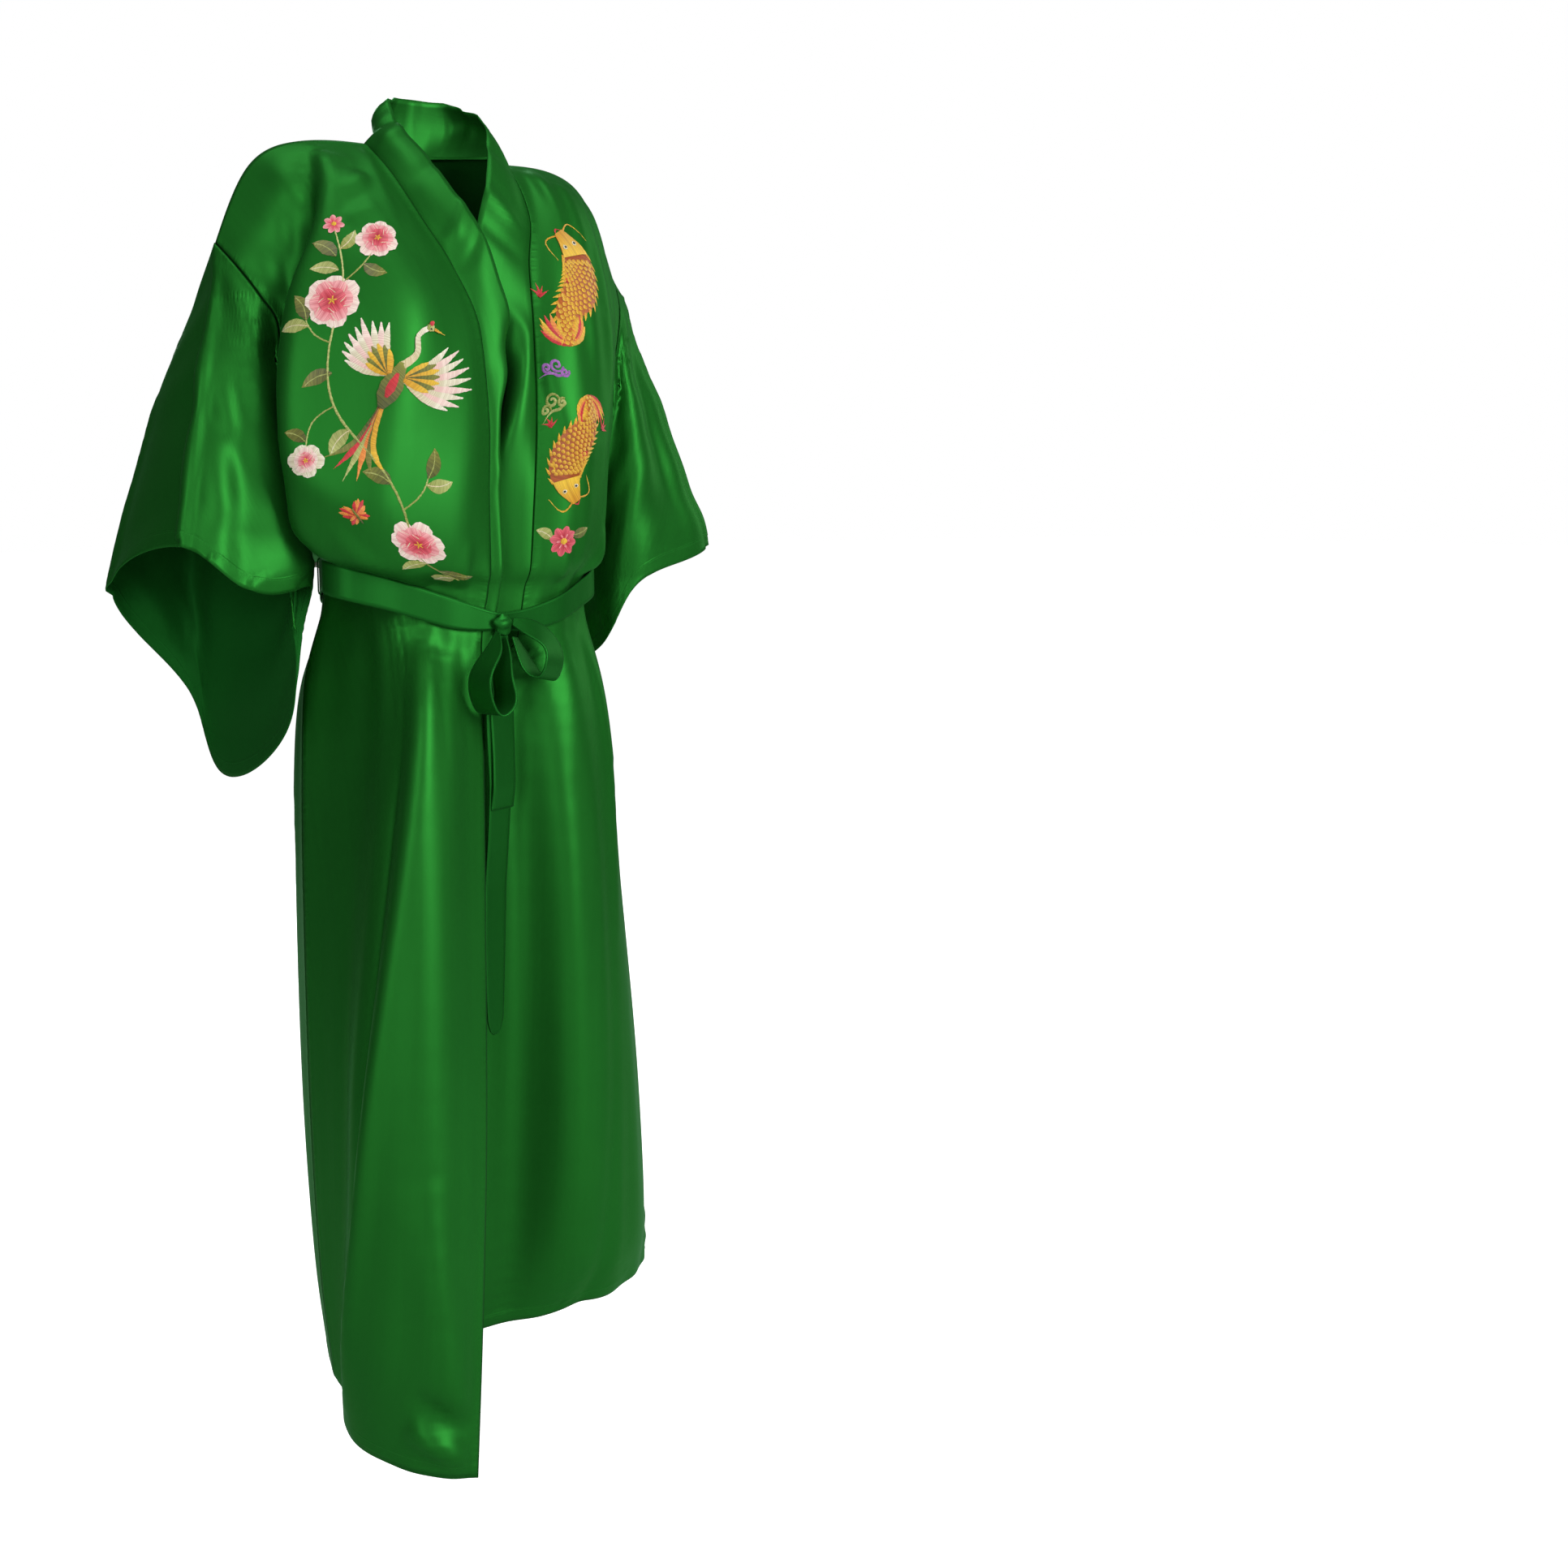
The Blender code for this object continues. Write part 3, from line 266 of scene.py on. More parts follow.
CUFF_RIGHT_ROWS = table(CUFF_COLUMNS, """
crest: 0 -306 -50 -396 0 0 4
outer back: 0.11 -334 84 -439 -4 12 0
back: 0.2 -284 116 -506 -10 22 0
back low: 0.31 -240 112 -572 -8 24 0
tip: 0.42 -222 82 -646 -4 10 0
inner low: 0.52 -198 -30 -592 0 0 0
inner: 0.64 -186 -46 -500 -4 0 0
inner corner: 0.74 -172 -52 -438 -4 0 0
front: 0.86 -232 -78 -444 -4 -10 0
front outer: 0.95 -288 -78 -408 0 -6 0
""")
CUFF_LEFT_ROWS = table(CUFF_COLUMNS, """
crest: 0 318 -22 -406 0 0 4
outer back: 0.11 314 106 -424 6 14 0
back: 0.2 300 160 -470 12 20 0
back low: 0.31 258 164 -536 8 20 0
tip: 0.42 204 116 -648 4 10 0
inner low: 0.52 186 60 -590 0 4 0
inner: 0.64 182 16 -526 4 0 0
inner corner: 0.74 186 -24 -504 4 0 0
front: 0.86 214 -46 -440 2 -12 0
front outer: 0.95 282 -42 -418 0 -8 0
""")
BOW_RIGHT_ROWS = table(RIBBON_COLUMNS, """
knot: -7.3 -2.3 -7.5 -0.3 0.94 0.1 6
upper: -24 -23 -27 -0.26 0.96 0.06 26
crease: -40 -30.5 -46 -0.22 0.97 0 34
low: -41 -30.5 -68 -0.22 0.97 0 36
bottom: -28 -30 -88 -0.22 0.97 0 36
return: -13.5 -28 -77 -0.22 0.97 0 36
inner: -13.5 -26 -54 -0.22 0.97 0 32
back: -8 -19 -31 -0.22 0.97 0 20
under knot: -2 -7.8 -12.5 -0.22 0.97 0 6
""")
BOW_LEFT_ROWS = table(RIBBON_COLUMNS, """
knot: 10.4 -1.1 2.6 0.4 0.62 0.66 9
upper: 25.1 -9 -3.1 0.68 0.6 0.43 28
fold: 46.1 -22.1 -27 0.82 0.55 -0.1 36
outer: 44 -24.1 -45 0.82 0.55 -0.17 36
bottom: 38.4 -18.1 -56 0.82 0.55 -0.17 36
return: 30.6 -11.1 -52 0.82 0.55 -0.14 34
inner: 20.7 -6.3 -35 0.82 0.55 -0.1 26
back: 11.5 -2.2 -13 0.82 0.55 -0.1 9
""")
TAIL_SHORT_ROWS = table(RIBBON_COLUMNS, """
knot: 1 1 -11.3 0.9 0.3 0 10
below: -2 2 -40 0.88 0.4 0 30
middle: -5 3 -112 0.88 0.42 0 36
end: -6.5 3 -189 0.88 0.42 0 36
""")
TAIL_LONG_ROWS = table(RIBBON_COLUMNS, """
knot: 0 3.6 -9.8 0.9 0.3 0 8
below: -4.5 8 -40 0.88 0.4 0 28
middle: -8.5 8 -163 0.88 0.42 0 36
low: -14.5 4 -313 0.88 0.42 0 34
end: -17.5 1 -427 0.88 0.42 0 24
""")
BELT_ROWS = table(BELT_COLUMNS, """
knot: 0 -474 17
front 1: 0.07 -463 32
front 2: 0.14 -441 33
side right: 0.21 -424 33
side right back: 0.27 -430 33
back right: 0.38 -450 33
back: 0.5 -460 33
back left: 0.62 -450 33
side left back: 0.73 -434 33
side left: 0.79 -431 31
front 3: 0.86 -450 28
front 4: 0.94 -472 24
""")
# Creases of the panels, their level counted down the panel. Those with a height below zero are troughs.
FRONT_RIGHT_CREASES = table(CREASE_COLUMNS, """
neck gather: 0.06 0.25 0.2 2.3 0.02 10 3 0.3
shoulder hollow: 0.34 0.6 0.3 2.6 0.04 22 -4 0
shoulder swell: 0.22 1.1 0.38 1.45 -0.02 11 4.2 0.2
shoulder swell low: 0.24 1.75 0.38 1.95 0.02 9 3 -0.2
panel edge: 0.34 0.04 0.64 5.2 0.085 13 9.5 -0.45
panel recess: 0.43 0.1 0.74 5 0.085 18 -17 0
breast swell: 0.2 2.8 0.34 7.2 0.03 34 6 0.2
drape turn: 0.8 4.6 0.26 7.6 0.1 26 7 0.4
drape hollow: 0.66 4.2 0.16 7.3 0.1 20 -4.5 0
belt pull: 0.42 6.2 0.3 7.95 0.02 10 5 0.3
belt pull small: 0.55 6.6 0.47 7.95 0.01 7 3.4 -0.3
belt pull side: 0.82 6.4 0.88 7.95 0.01 10 4 0
belt pull front: 0.1 6.5 0.14 7.95 0 7 3 0
below belt: 0.44 9.05 0.4 10.4 0 14 1.6 -0.3
below belt front: 0.12 9.1 0.14 10.2 0 18 -1.6 0
below belt side: 0.62 9.1 0.6 10.6 0.02 14 -3.6 0
skirt ridge: 0.31 9.2 0.24 12.9 -0.01 42 10 0.1
skirt ridge low: 0.25 12.1 0.08 13.8 0.01 22 9 0
fold edge: 0.395 8.9 0.58 13.9 -0.06 11 8.4 -0.4
fold recess: 0.485 8.8 0.67 13.8 -0.06 20 -16 0
skirt hollow: 0.12 10.2 0.13 13.4 0.01 22 -3.6 0
side hollow: 0.84 10.2 0.82 13.8 -0.02 20 -4 0
hem gleam: 0.28 13.62 0.02 13.9 0 11 13 0
hem dent: 0.28 13.34 0.04 13.64 0 12 -8 0
""")
FRONT_LEFT_CREASES = table(CREASE_COLUMNS, """
neck gather: 0.1 0.3 0.24 2.2 0.02 10 3 0.3
shoulder swell: 0.36 0.8 0.44 2.3 -0.02 18 3.6 0.2
armhole hollow: 0.9 2.4 0.7 4.6 0.05 18 -5 0
armhole swell: 0.96 3.2 0.8 5.6 0.04 14 5 0.3
cross fold: 0.02 3.6 0.28 5.6 -0.08 18 5 0.4
breast swell: 0.5 3.2 0.42 7.3 0.03 36 6.4 0.2
blouse hollow: 0.3 5.2 0.24 7.6 0 20 -5 0
belt pull: 0.52 6.3 0.42 7.95 0.02 10 4.8 0.3
belt pull side: 0.76 6 0.7 7.95 0.02 12 5 -0.3
belt pull front: 0.16 6.5 0.22 7.95 0 8 3 0
below belt: 0.52 9.1 0.58 11.4 0.04 12 3.6 0.3
below belt side: 0.74 9.1 0.86 12.2 0.04 10 4 0.3
below belt front: 0.33 9.1 0.33 10.5 0 14 3 0
skirt swell: 0.28 9.4 0.31 13.9 0 30 11 0
skirt hollow: 0.62 10.4 0.6 13.8 -0.02 32 -6 0
front hollow: 0.12 9.2 0.14 13.9 0 30 -20 0
side ripple: 0.84 13 0.97 13.4 0 8 1.8 0
side ripple low: 0.82 13.4 0.98 13.7 0 7 1.8 0
""")
BACK_CREASES = table(CREASE_COLUMNS, """
nape gather: 0.42 0.35 0.4 1.6 0 12 3 0
nape gather left: 0.6 0.35 0.63 1.7 0 12 2.8 0
blade swell right: 0.26 1.4 0.34 5.8 0.03 30 5 0.2
blade swell left: 0.76 1.3 0.67 5.9 -0.03 32 5.4 -0.2
armhole pull right: 0.03 4.2 0.2 6 0 14 5 0.3
armhole pull left: 0.97 4 0.8 6.1 0 14 5 -0.3
middle hollow: 0.5 2.2 0.49 6.8 0 30 -4 0
belt pull 1: 0.12 6.2 0.15 7.95 0 10 5 0.2
belt pull 2: 0.24 6.6 0.26 7.95 0.01 8 4.4 -0.2
belt pull 3: 0.33 5.9 0.35 7.95 0.01 12 5.6 0.3
belt pull 4: 0.46 6.5 0.45 7.95 0 9 4.2 0
belt pull 5: 0.57 6.1 0.56 7.95 0 11 5.2 -0.3
belt pull 6: 0.7 6.6 0.68 7.95 0 8 4.4 0.2
belt pull 7: 0.83 6 0.79 7.95 0.01 11 5.4 0
below belt 1: 0.16 9.1 0.14 11.2 0.01 12 5 0
below belt 2: 0.36 9.1 0.33 11.8 0.01 13 5.6 0.2
below belt 3: 0.54 9.1 0.53 10.9 0.01 11 4.4 0
below belt 4: 0.69 9.1 0.72 11.9 -0.01 13 5.6 -0.2
below belt 5: 0.88 9.1 0.9 11 0 11 4.4 0
skirt hollow right: 0.36 10.8 0.35 13.9 0.02 30 -7 0
skirt hollow left: 0.64 10.9 0.62 13.9 -0.02 30 -6.6 0
side hollow right: 0.12 10.6 0.11 13.9 0 24 -5 0
side hollow left: 0.9 10.6 0.91 13.9 0 24 -5 0
""")
# Creases of the sleeves: across is the place round, 0.5 under the arm, and level the share of its length.
SLEEVE_RIGHT_CREASES = table(CREASE_COLUMNS, """
crest: 0.985 0.02 0.995 1.5 0 9 8 0.3
crest bed: 0.955 0.03 0.95 1.3 0 16 -3 0
outer fold: 0.115 0.35 0.12 1.5 0 10 7 0
front hollow: 0.89 0.06 0.88 1.2 0.01 20 -8 0
front swell: 0.82 0.08 0.8 1.2 0.01 18 6.4 0
inner hollow: 0.75 0.1 0.73 0.9 -0.02 20 -7 0
inner swell: 0.66 0.06 0.68 0.92 0.02 26 6 0.2
under fold: 0.56 0.04 0.58 0.8 0 22 6 0
back swell: 0.16 0.1 0.14 0.96 0.02 34 7 0.2
back hollow: 0.24 0.12 0.22 0.94 0.02 28 -8 0
back low swell: 0.33 0.08 0.3 0.96 0 32 7 0
back low hollow: 0.41 0.1 0.38 0.92 0 24 -6 0
""")
SLEEVE_LEFT_CREASES = table(CREASE_COLUMNS, """
crest: 0.02 0.02 0.01 1.5 0 10 6.4 -0.3
crest bed: 0.955 0.03 0.95 0.97 0 14 -4.6 0
front swell: 0.86 0.1 0.84 0.96 -0.02 28 7 0
front hollow: 0.93 0.12 0.91 0.94 0.02 20 -6 0
inner hollow: 0.78 0.08 0.76 0.9 0.02 24 -6 0
inner swell: 0.69 0.06 0.7 0.92 0 26 6 0
under fold: 0.55 0.04 0.57 0.84 0 22 6 0
back swell: 0.17 0.1 0.16 0.96 0.02 34 7 -0.2
back hollow: 0.25 0.12 0.24 0.94 -0.02 28 -8 0
back low swell: 0.34 0.08 0.31 0.96 0 32 7 0
back low hollow: 0.42 0.1 0.39 0.92 0 24 -6 0
""")
BAND_CREASES = table(BAND_CREASE_COLUMNS, """
right belt: 0.15 10 12 1.6
right breast: 0.235 14 14 -1.6
right chest low: 0.312 16 9 -2
right chest: 0.334 20 8 2.8
right neck: 0.385 10 10 -1.8
nape 1: 0.424 10 6 2.4
nape 2: 0.44 -6 5 -2.2
nape 3: 0.457 12 6 3
nape 4: 0.473 4 5 -2.6
nape 5: 0.486 -10 5 2.4
nape 6: 0.503 6 6 -2.4
nape 7: 0.52 -4 7 3.2
nape 8: 0.538 8 5 -2.4
nape 9: 0.556 -10 6 2.6
left neck: 0.6 -12 10 -2
left chest: 0.652 -20 8 2.8
left chest low: 0.676 -14 10 -2
left breast: 0.76 -14 14 1.8
""")
# Thread colours: where a stitch starts and where it ends.
THREADS = table("red* green* blue* end_red* end_green* end_blue*", """
pink: 0.72 0.045 0.1 0.88 0.42 0.42
rose: 0.5 0.012 0.035 0.8 0.13 0.17
blush: 0.86 0.4 0.38 0.9 0.76 0.66
cream: 0.62 0.5 0.24 0.86 0.82 0.66
olive: 0.045 0.055 0.006 0.24 0.25 0.03
lime: 0.22 0.26 0.03 0.55 0.58 0.2
gold: 0.62 0.27 0.008 0.86 0.55 0.03
amber: 0.34 0.055 0.003 0.52 0.12 0.004
orange: 0.7 0.1 0.008 0.88 0.34 0.06
red: 0.42 0.005 0.012 0.7 0.03 0.04
lilac: 0.26 0.07 0.36 0.42 0.17 0.52
black: 0.008 0.008 0.008 0.02 0.02 0.02
""")

FRONTS = {-1: FRONT_RIGHT_ROWS, 1: FRONT_LEFT_ROWS}
CUFFS = {-1: CUFF_RIGHT_ROWS, 1: CUFF_LEFT_ROWS}


def unit(vectors):
    return vectors / (np.linalg.norm(vectors, axis=-1, keepdims=True) + 1e-12)


def reach_along(line, weight=1.0):
    """Length along a line of points up to each of them."""
    return np.append(0, np.cumsum(np.linalg.norm(np.diff(line, axis=0), axis=-1) * weight))


def cell_of(places, wanted):
    return np.clip(np.searchsorted(places, wanted, side="right") - 1, 0, len(places) - 2)


def steps(values, places, wanted):
    """Runs smoothly through the values without passing beyond them."""
    values, places, wanted = (np.asarray(one, float) for one in (values, places, wanted))
    flat = values.reshape(len(places), -1)
    widths = np.diff(places)[:, None]
    slopes = np.diff(flat, axis=0) / widths
    before, after = slopes[:-1], slopes[1:]
    same = before * after > 0
    first, second = 2 * widths[1:] + widths[:-1], widths[1:] + 2 * widths[:-1]
    mean = (first + second) / (first / np.where(same, before, 1.0) + second / np.where(same, after, 1.0))
    tangents = np.concatenate([slopes[:1], np.where(same, mean, 0.0), slopes[-1:]])
    cell = cell_of(places, wanted)
    width = widths[cell]
    share = (wanted - places[cell])[:, None] / width
    rest = 1 - share
    result = (flat[cell] * (1 + 2 * share) * rest ** 2 + flat[cell + 1] * share ** 2 * (3 - 2 * share)
              + (tangents[cell] * rest - tangents[cell + 1] * share) * width * share * rest)
    return result.reshape((len(wanted),) + values.shape[1:])


def bending(values, places, wanted, closed=False):
    """Runs through the values with an even bend; closed joins the last to the first."""
    values, places, wanted = (np.asarray(one, float) for one in (values, places, wanted))
    flat = values.reshape(len(places), -1)
    if closed:
        flat = np.concatenate([flat[-4:], flat, flat[:4]])
        places = np.concatenate([places[-4:] - 1, places, places[:4] + 1])
    widths = np.diff(places)
    matrix = np.eye(len(places))
    pull = np.zeros_like(flat)
    for row in range(1, len(places) - 1):
        left, right = widths[row - 1:row + 1]
        matrix[row, row - 1:row + 2] = left, 2 * (left + right), right
        pull[row] = 6 * ((flat[row + 1] - flat[row]) / right - (flat[row] - flat[row - 1]) / left)
    moments = np.linalg.solve(matrix, pull)
    cell = cell_of(places, wanted)
    width = widths[cell][:, None]
    result = 0
    for at, gap in ((cell, places[cell + 1] - wanted), (cell + 1, wanted - places[cell])):
        gap = gap[:, None]
        result = result + moments[at] * gap ** 3 / (6 * width)
        result = result + (flat[at] / width - moments[at] * width / 6) * gap
    return result.reshape((len(wanted),) + values.shape[1:])


def front_guides(rows):
    """Guide points of a front: level, place across, xyz."""
    names = ("edge", "breast", "crest", "valley", "side")
    return np.array([[(size[name + "_x"], size[name + "_y"],
                       size["z"] + size["fall"] * (place / 4) ** size["bend"])
                      for place, name in enumerate(names)] for size in rows.values()])


def front_line(rows, place, levels):
    """A line down a front at one of its guide points: 0 at the edge, 4 at the side."""
    return steps(front_guides(rows)[:, place], np.arange(len(rows)), levels)


def outward_of(grid, sign, closed=False):
    """Unit vectors that point out of the sheet on its worn side."""
    if closed:
        wide = np.concatenate([grid[:, -2:], grid, grid[:, :2]], axis=1)
        across = np.gradient(wide, axis=1)[:, 2:-2]
    else:
        across = np.gradient(grid, axis=1)
    return unit(sign * np.cross(across, np.gradient(grid, axis=0)))


def add_folds(grid, folds, levels, shares, sign=1.0):
    """Raises the soft folds from the sheet along its own outward direction."""
    outward, across = outward_of(grid, sign), unit(np.gradient(grid, axis=1))
    result = grid.copy()
    for size in folds.values():
        run = np.clip((levels - size["top_level"]) / (size["low_level"] - size["top_level"]), 0.0, 1.0)
        swell = np.sin(np.pi * run * (1.0 if size["low_level"] < 14.5 else 0.5))
        middle = size["top_at"] + (size["low_at"] - size["top_at"]) * run
        bump = np.exp(-((shares - middle[:, None]) / size["width"]) ** 2) * swell[:, None]
        result += bump[:, :, None] * (size["height"] * outward + size["lean"] * across)
    return result


def front_sheet(rows, folds, levels, shares):
    """The front as a grid of points: levels from the shoulder down, then from the edge to the side."""
    lines = steps(front_guides(rows), np.arange(len(rows)), levels)
    grid = np.stack([bending(line, np.linspace(0, 1, 5), shares) for line in lines])
    return add_folds(grid, folds, levels, shares)


def level_places(count):
    """Levels spread over the cloth's length, closer at the shoulder and the belt, one at the underarm."""
    fine = np.linspace(0, len(FRONT_RIGHT_ROWS) - 1, 1401)
    middle = 0.5 * (fine[1:] + fine[:-1])
    weight = 1.0 + 2.2 * np.exp(-((middle - 8.0) / 1.1) ** 2) + 1.2 * np.exp(-(middle / 1.2) ** 2)
    reach = reach_along(front_line(FRONT_RIGHT_ROWS, 1, fine), weight)
    levels = np.interp(np.linspace(0, reach[-1], count + 1), reach, fine)
    levels[np.argmin(abs(levels - UNDERARM_LEVEL))] = UNDERARM_LEVEL
    return levels


def back_line(side):
    """Side line of the back: its armhole seam above, the front's side seam below."""
    line = front_guides(FRONTS[side])[:, 4].copy()
    line[1:5] = numbers(BACK_ARMHOLE_ROWS)[1:] * (side, 1, 1)
    return line


def back_guides():
    """Guide points of the back: level, place across from the right side to the left, xyz."""
    right, left = back_line(-1), back_line(1)
    guides = []
    for place, size in enumerate(BACK_ROWS.values()):
        middle = 0.5 * (right[place, 0] + left[place, 0]) if place > 4 else 0.0
        reach = 0.5 * (abs(right[place, 0]) + abs(left[place, 0]))
        halves = []
        for side, end in ((-1, right[place]), (1, left[place])):
            stretch = abs(end[0] - middle) / reach
            halves.append([tuple(end)] + [
                (middle + side * size[name + "_x"] * stretch, size[name + "_y"],
                 size["z"] + (end[2] - size["z"]) * share ** size["bend"])
                for share, name in ((2 / 3, "blade"), (NECK_SHARE, "neck"))])
        guides.append(halves[0] + [(middle, size["centre_y"], size["z"])] + halves[1][::-1])
    return np.array(guides)


def back_shares(front_shares, neck_steps):
    """Places across the back: the shoulders as on the fronts, the neck between them."""
    shoulder = SHOULDER_SHARE * (1 - front_shares[::-1])
    neck = np.linspace(SHOULDER_SHARE, 1 - SHOULDER_SHARE, neck_steps + 1)
    return np.concatenate([shoulder, neck[1:-1], 1 - shoulder[::-1]])


def back_sheet(levels, shares):
    """The back as a grid of points, its shoulder line laid on that of the fronts."""
    guides = back_guides()
    lines = steps(guides, np.arange(len(guides)), levels)
    grid = np.stack([bending(line, BACK_PLACES, shares) for line in lines])
    top = bending(guides[0], BACK_PLACES, shares)
    fade = np.clip(1 - levels / 1.3, 0, 1)[:, None, None] ** 2
    for rows, along in ((FRONT_RIGHT_ROWS, shares), (FRONT_LEFT_ROWS, 1 - shares)):
        outer = along <= SHOULDER_SHARE + 1e-9
        wanted = bending(front_guides(rows)[0], np.linspace(0, 1, 5), 1 - along[outer] / SHOULDER_SHARE)
        grid[:, outer] += fade * (wanted - top[outer])
    return add_folds(grid, BACK_FOLDS, levels, shares, -1.0)


def armhole(side, turns):
    """Closed line the sleeve is sewn on: over the shoulder, down the back, under the arm, up the front."""
    back = steps(back_line(side), np.arange(15), 2 * UNDERARM_LEVEL * np.clip(turns, 0, 0.5))
    front = front_line(FRONTS[side], 4, 2 * UNDERARM_LEVEL * np.clip(1 - turns, 0, 0.5))
    return np.where((turns <= 0.5)[:, None], back, front)


def sleeve_turns(levels):
    """Places round the sleeve, one at every level of the panels it is sewn to."""
    half = 0.5 / UNDERARM_LEVEL * levels[levels <= UNDERARM_LEVEL]
    half = np.sort(np.concatenate([half, 0.5 * (half[1:] + half[:-1])]))
    return np.concatenate([half, 1 - half[-2:0:-1]])


def sleeve_sheet(side, turns, shares):
    """The sleeve as a closed grid: down its length, then round it."""
    rows = numbers(CUFFS[side])
    cuff = bending(rows[:, 1:], rows[:, 0], turns, closed=True)
    start = armhole(side, turns)
    shares = shares[:, None, None]
    grid = start + (cuff[:, :3] - start) * shares + cuff[:, 3:] * np.sin(np.pi * shares ** 0.8)
    clear = ARM_CLEARANCE + UNDERARM_CLEARANCE * np.exp(-((turns - 0.5) / 0.16) ** 2)
    grid[:, :, 0] += side * clear * (1 - shares[:, :, 0]) ** 2
    return grid


def band_sheet(across_steps, count):
    """The collar band from the right end round the neck to the left end, from its seam to its free edge."""
    right, nape, left = (numbers(rows) for rows in (BAND_RIGHT_ROWS, NAPE_ROWS, BAND_LEFT_ROWS))
    rows = np.concatenate([right, nape, left])
    stations = np.arange(len(rows))
    wanted = np.linspace(0, stations[-1], 40 * len(rows) + 1)
    level = np.interp(wanted, stations, rows[:, 0])
    first, last = len(right) - 1, len(right) + len(nape)
    turn = (wanted - first) / (last - first)
    seam = bending(back_guides()[0], BACK_PLACES, SHOULDER_SHARE + NECK_SHARE * turn)
    for part, front in ((wanted <= first, FRONT_RIGHT_ROWS), (wanted >= last, FRONT_LEFT_ROWS)):
        seam[part] = front_line(front, 0, level[part])
    body = steps(rows[:, 1:], stations, wanted)
    grid = np.stack([seam, body[:, :3], body[:, 3:]], axis=1)
    reach = reach_along(grid[:, 0] + grid[:, 2])
    evened = np.interp(np.linspace(0, reach[-1], count + 1), reach, np.arange(len(wanted)))
    low = evened.astype(int).clip(0, len(wanted) - 2)
    part = (evened - low)[:, None, None]
    lines = grid[low] * (1 - part) + grid[low + 1] * part
    lines[:, 0] += unit(lines[:, 1] - lines[:, 0]) * SEAM_GAP
    return np.stack([bending(line, [0, 0.5, 1], np.linspace(0, 1, across_steps + 1)) for line in lines])


def sampled(grid, parts=8):
    """The grid's points with more between them along straight lines."""
    for axis in (0, 1):
        lines = np.moveaxis(grid, axis, 0)
        shares = (np.arange(parts) / parts).reshape((1, parts) + (1,) * (lines.ndim - 1))
        between = lines[:-1, None] * (1 - shares) + lines[1:, None] * shares
        between = between.reshape((-1,) + lines.shape[1:])
        grid = np.moveaxis(np.concatenate([between, lines[-1:]]), 0, axis)
    return grid.reshape(-1, 3)


def laid_on(grid, under, gap):
    """Moves the rows of a hanging ribbon forward until each clears what lies behind it."""
    shifts = np.zeros(len(grid))
    for row, points in enumerate(grid):
        for point in points:
            near = under[np.hypot(under[:, 0] - point[0], under[:, 2] - point[2]) < 0.005]
            if len(near):
                shifts[row] = min(shifts[row], near[:, 1].min() - gap - point[1])
    shifts = np.minimum(shifts, 0.5 * (np.append(shifts[1:], shifts[-1]) + np.append(shifts[0], shifts[:-1])))
    return grid + shifts[:, None, None] * (0, 1, 0)


def round_waist(points):
    """Places round the waist of points given from its centre, from the knot towards the wearer's right."""
    return np.mod(np.arctan2(-points[..., 0], -points[..., 1]) / (2 * np.pi), 1.0)


def facing(turns):
    """Unit vectors from the waist's centre at places round it."""
    return np.stack([-np.sin(2 * np.pi * turns), -np.cos(2 * np.pi * turns)], axis=1)


def belt_middle(count, cloth):
    """Middle line of the belt, drawn tight round the cloth it lies on."""
    rows = numbers(BELT_ROWS)
    offsets = cloth[:, :2] - BELT_CENTRE
    heights = bending(rows[:, 1], rows[:, 0], round_waist(offsets), closed=True)
    under = abs(cloth[:, 2] - heights) < 0.5 * BELT_WIDTH + 0.004
    fine, turns = (np.linspace(0, 1, number, endpoint=False) for number in (720, count))
    ways, ends = facing(fine), facing(turns)
    support = (offsets[under] @ ways.T).max(axis=0) + 0.5 * (CLOTH + BELT_CLOTH) + BELT_CLEARANCE
    hull, reach = (np.where(slant > 0.3, support / np.maximum(slant, 0.3), 9.0).min(axis=1)
                   for slant in (ways @ ways.T, ends @ ways.T))
    cell = (fine * count).astype(int)
    for _ in range(6):
        line = ends * reach[:, None]
        start, end = line[cell], line[(cell + 1) % count]
        normal = np.stack([end[:, 1] - start[:, 1], start[:, 0] - end[:, 0]], axis=1)
        chord = (start * normal).sum(axis=1) / (ways * normal).sum(axis=1)
        short = np.clip(hull - chord, 0, None).reshape(count, -1).max(axis=1)
        reach += np.maximum(short, np.roll(short, 1))
    line = BELT_CENTRE + ends * reach[:, None]
    return np.column_stack([line, bending(rows[:, 1], rows[:, 0], turns, closed=True)])


def ribbon(rows, long_steps, knot_at, across_steps):
    """Ribbon of the belt along its middle line."""
    rows = numbers(rows)
    rows[:, :3] += knot_at
    reach = reach_along(rows[:, :3])
    line = bending(rows, reach, np.linspace(0, reach[-1], long_steps + 1))
    shares = np.linspace(-0.5, 0.5, across_steps + 1)
    return line[:, None, :3] + unit(line[:, 3:6])[:, None] * (shares * line[:, 6:7])[:, :, None]


def belt_sheet(middle, across_steps=2):
    """Band of the belt, its width upright and narrowed at the knot."""
    rows = numbers(BELT_ROWS)
    rows = np.concatenate([rows, [[1.0, *rows[0, 1:]]]])
    half = 0.5 * steps(rows[:, 2], rows[:, 0], np.linspace(0, 1, len(middle), endpoint=False))
    return middle + (np.linspace(-1, 1, across_steps + 1)[:, None] * half)[:, :, None] * (0, 0, 1)


def surface_point(grid, rows, columns, down, across):
    """The sheet's point at a place down and across it, both arrays."""
    row, column = cell_of(rows, down), cell_of(columns, across)
    part_down = np.clip((down - rows[row]) / (rows[row + 1] - rows[row]), 0, 1)[:, None]
    part_across = np.clip((across - columns[column]) / (columns[column + 1] - columns[column]), 0, 1)[:, None]
    top, low = (grid[at, column] * (1 - part_across) + grid[at, column + 1] * part_across
                for at in (row, row + 1))
    return top * (1 - part_down) + low * part_down


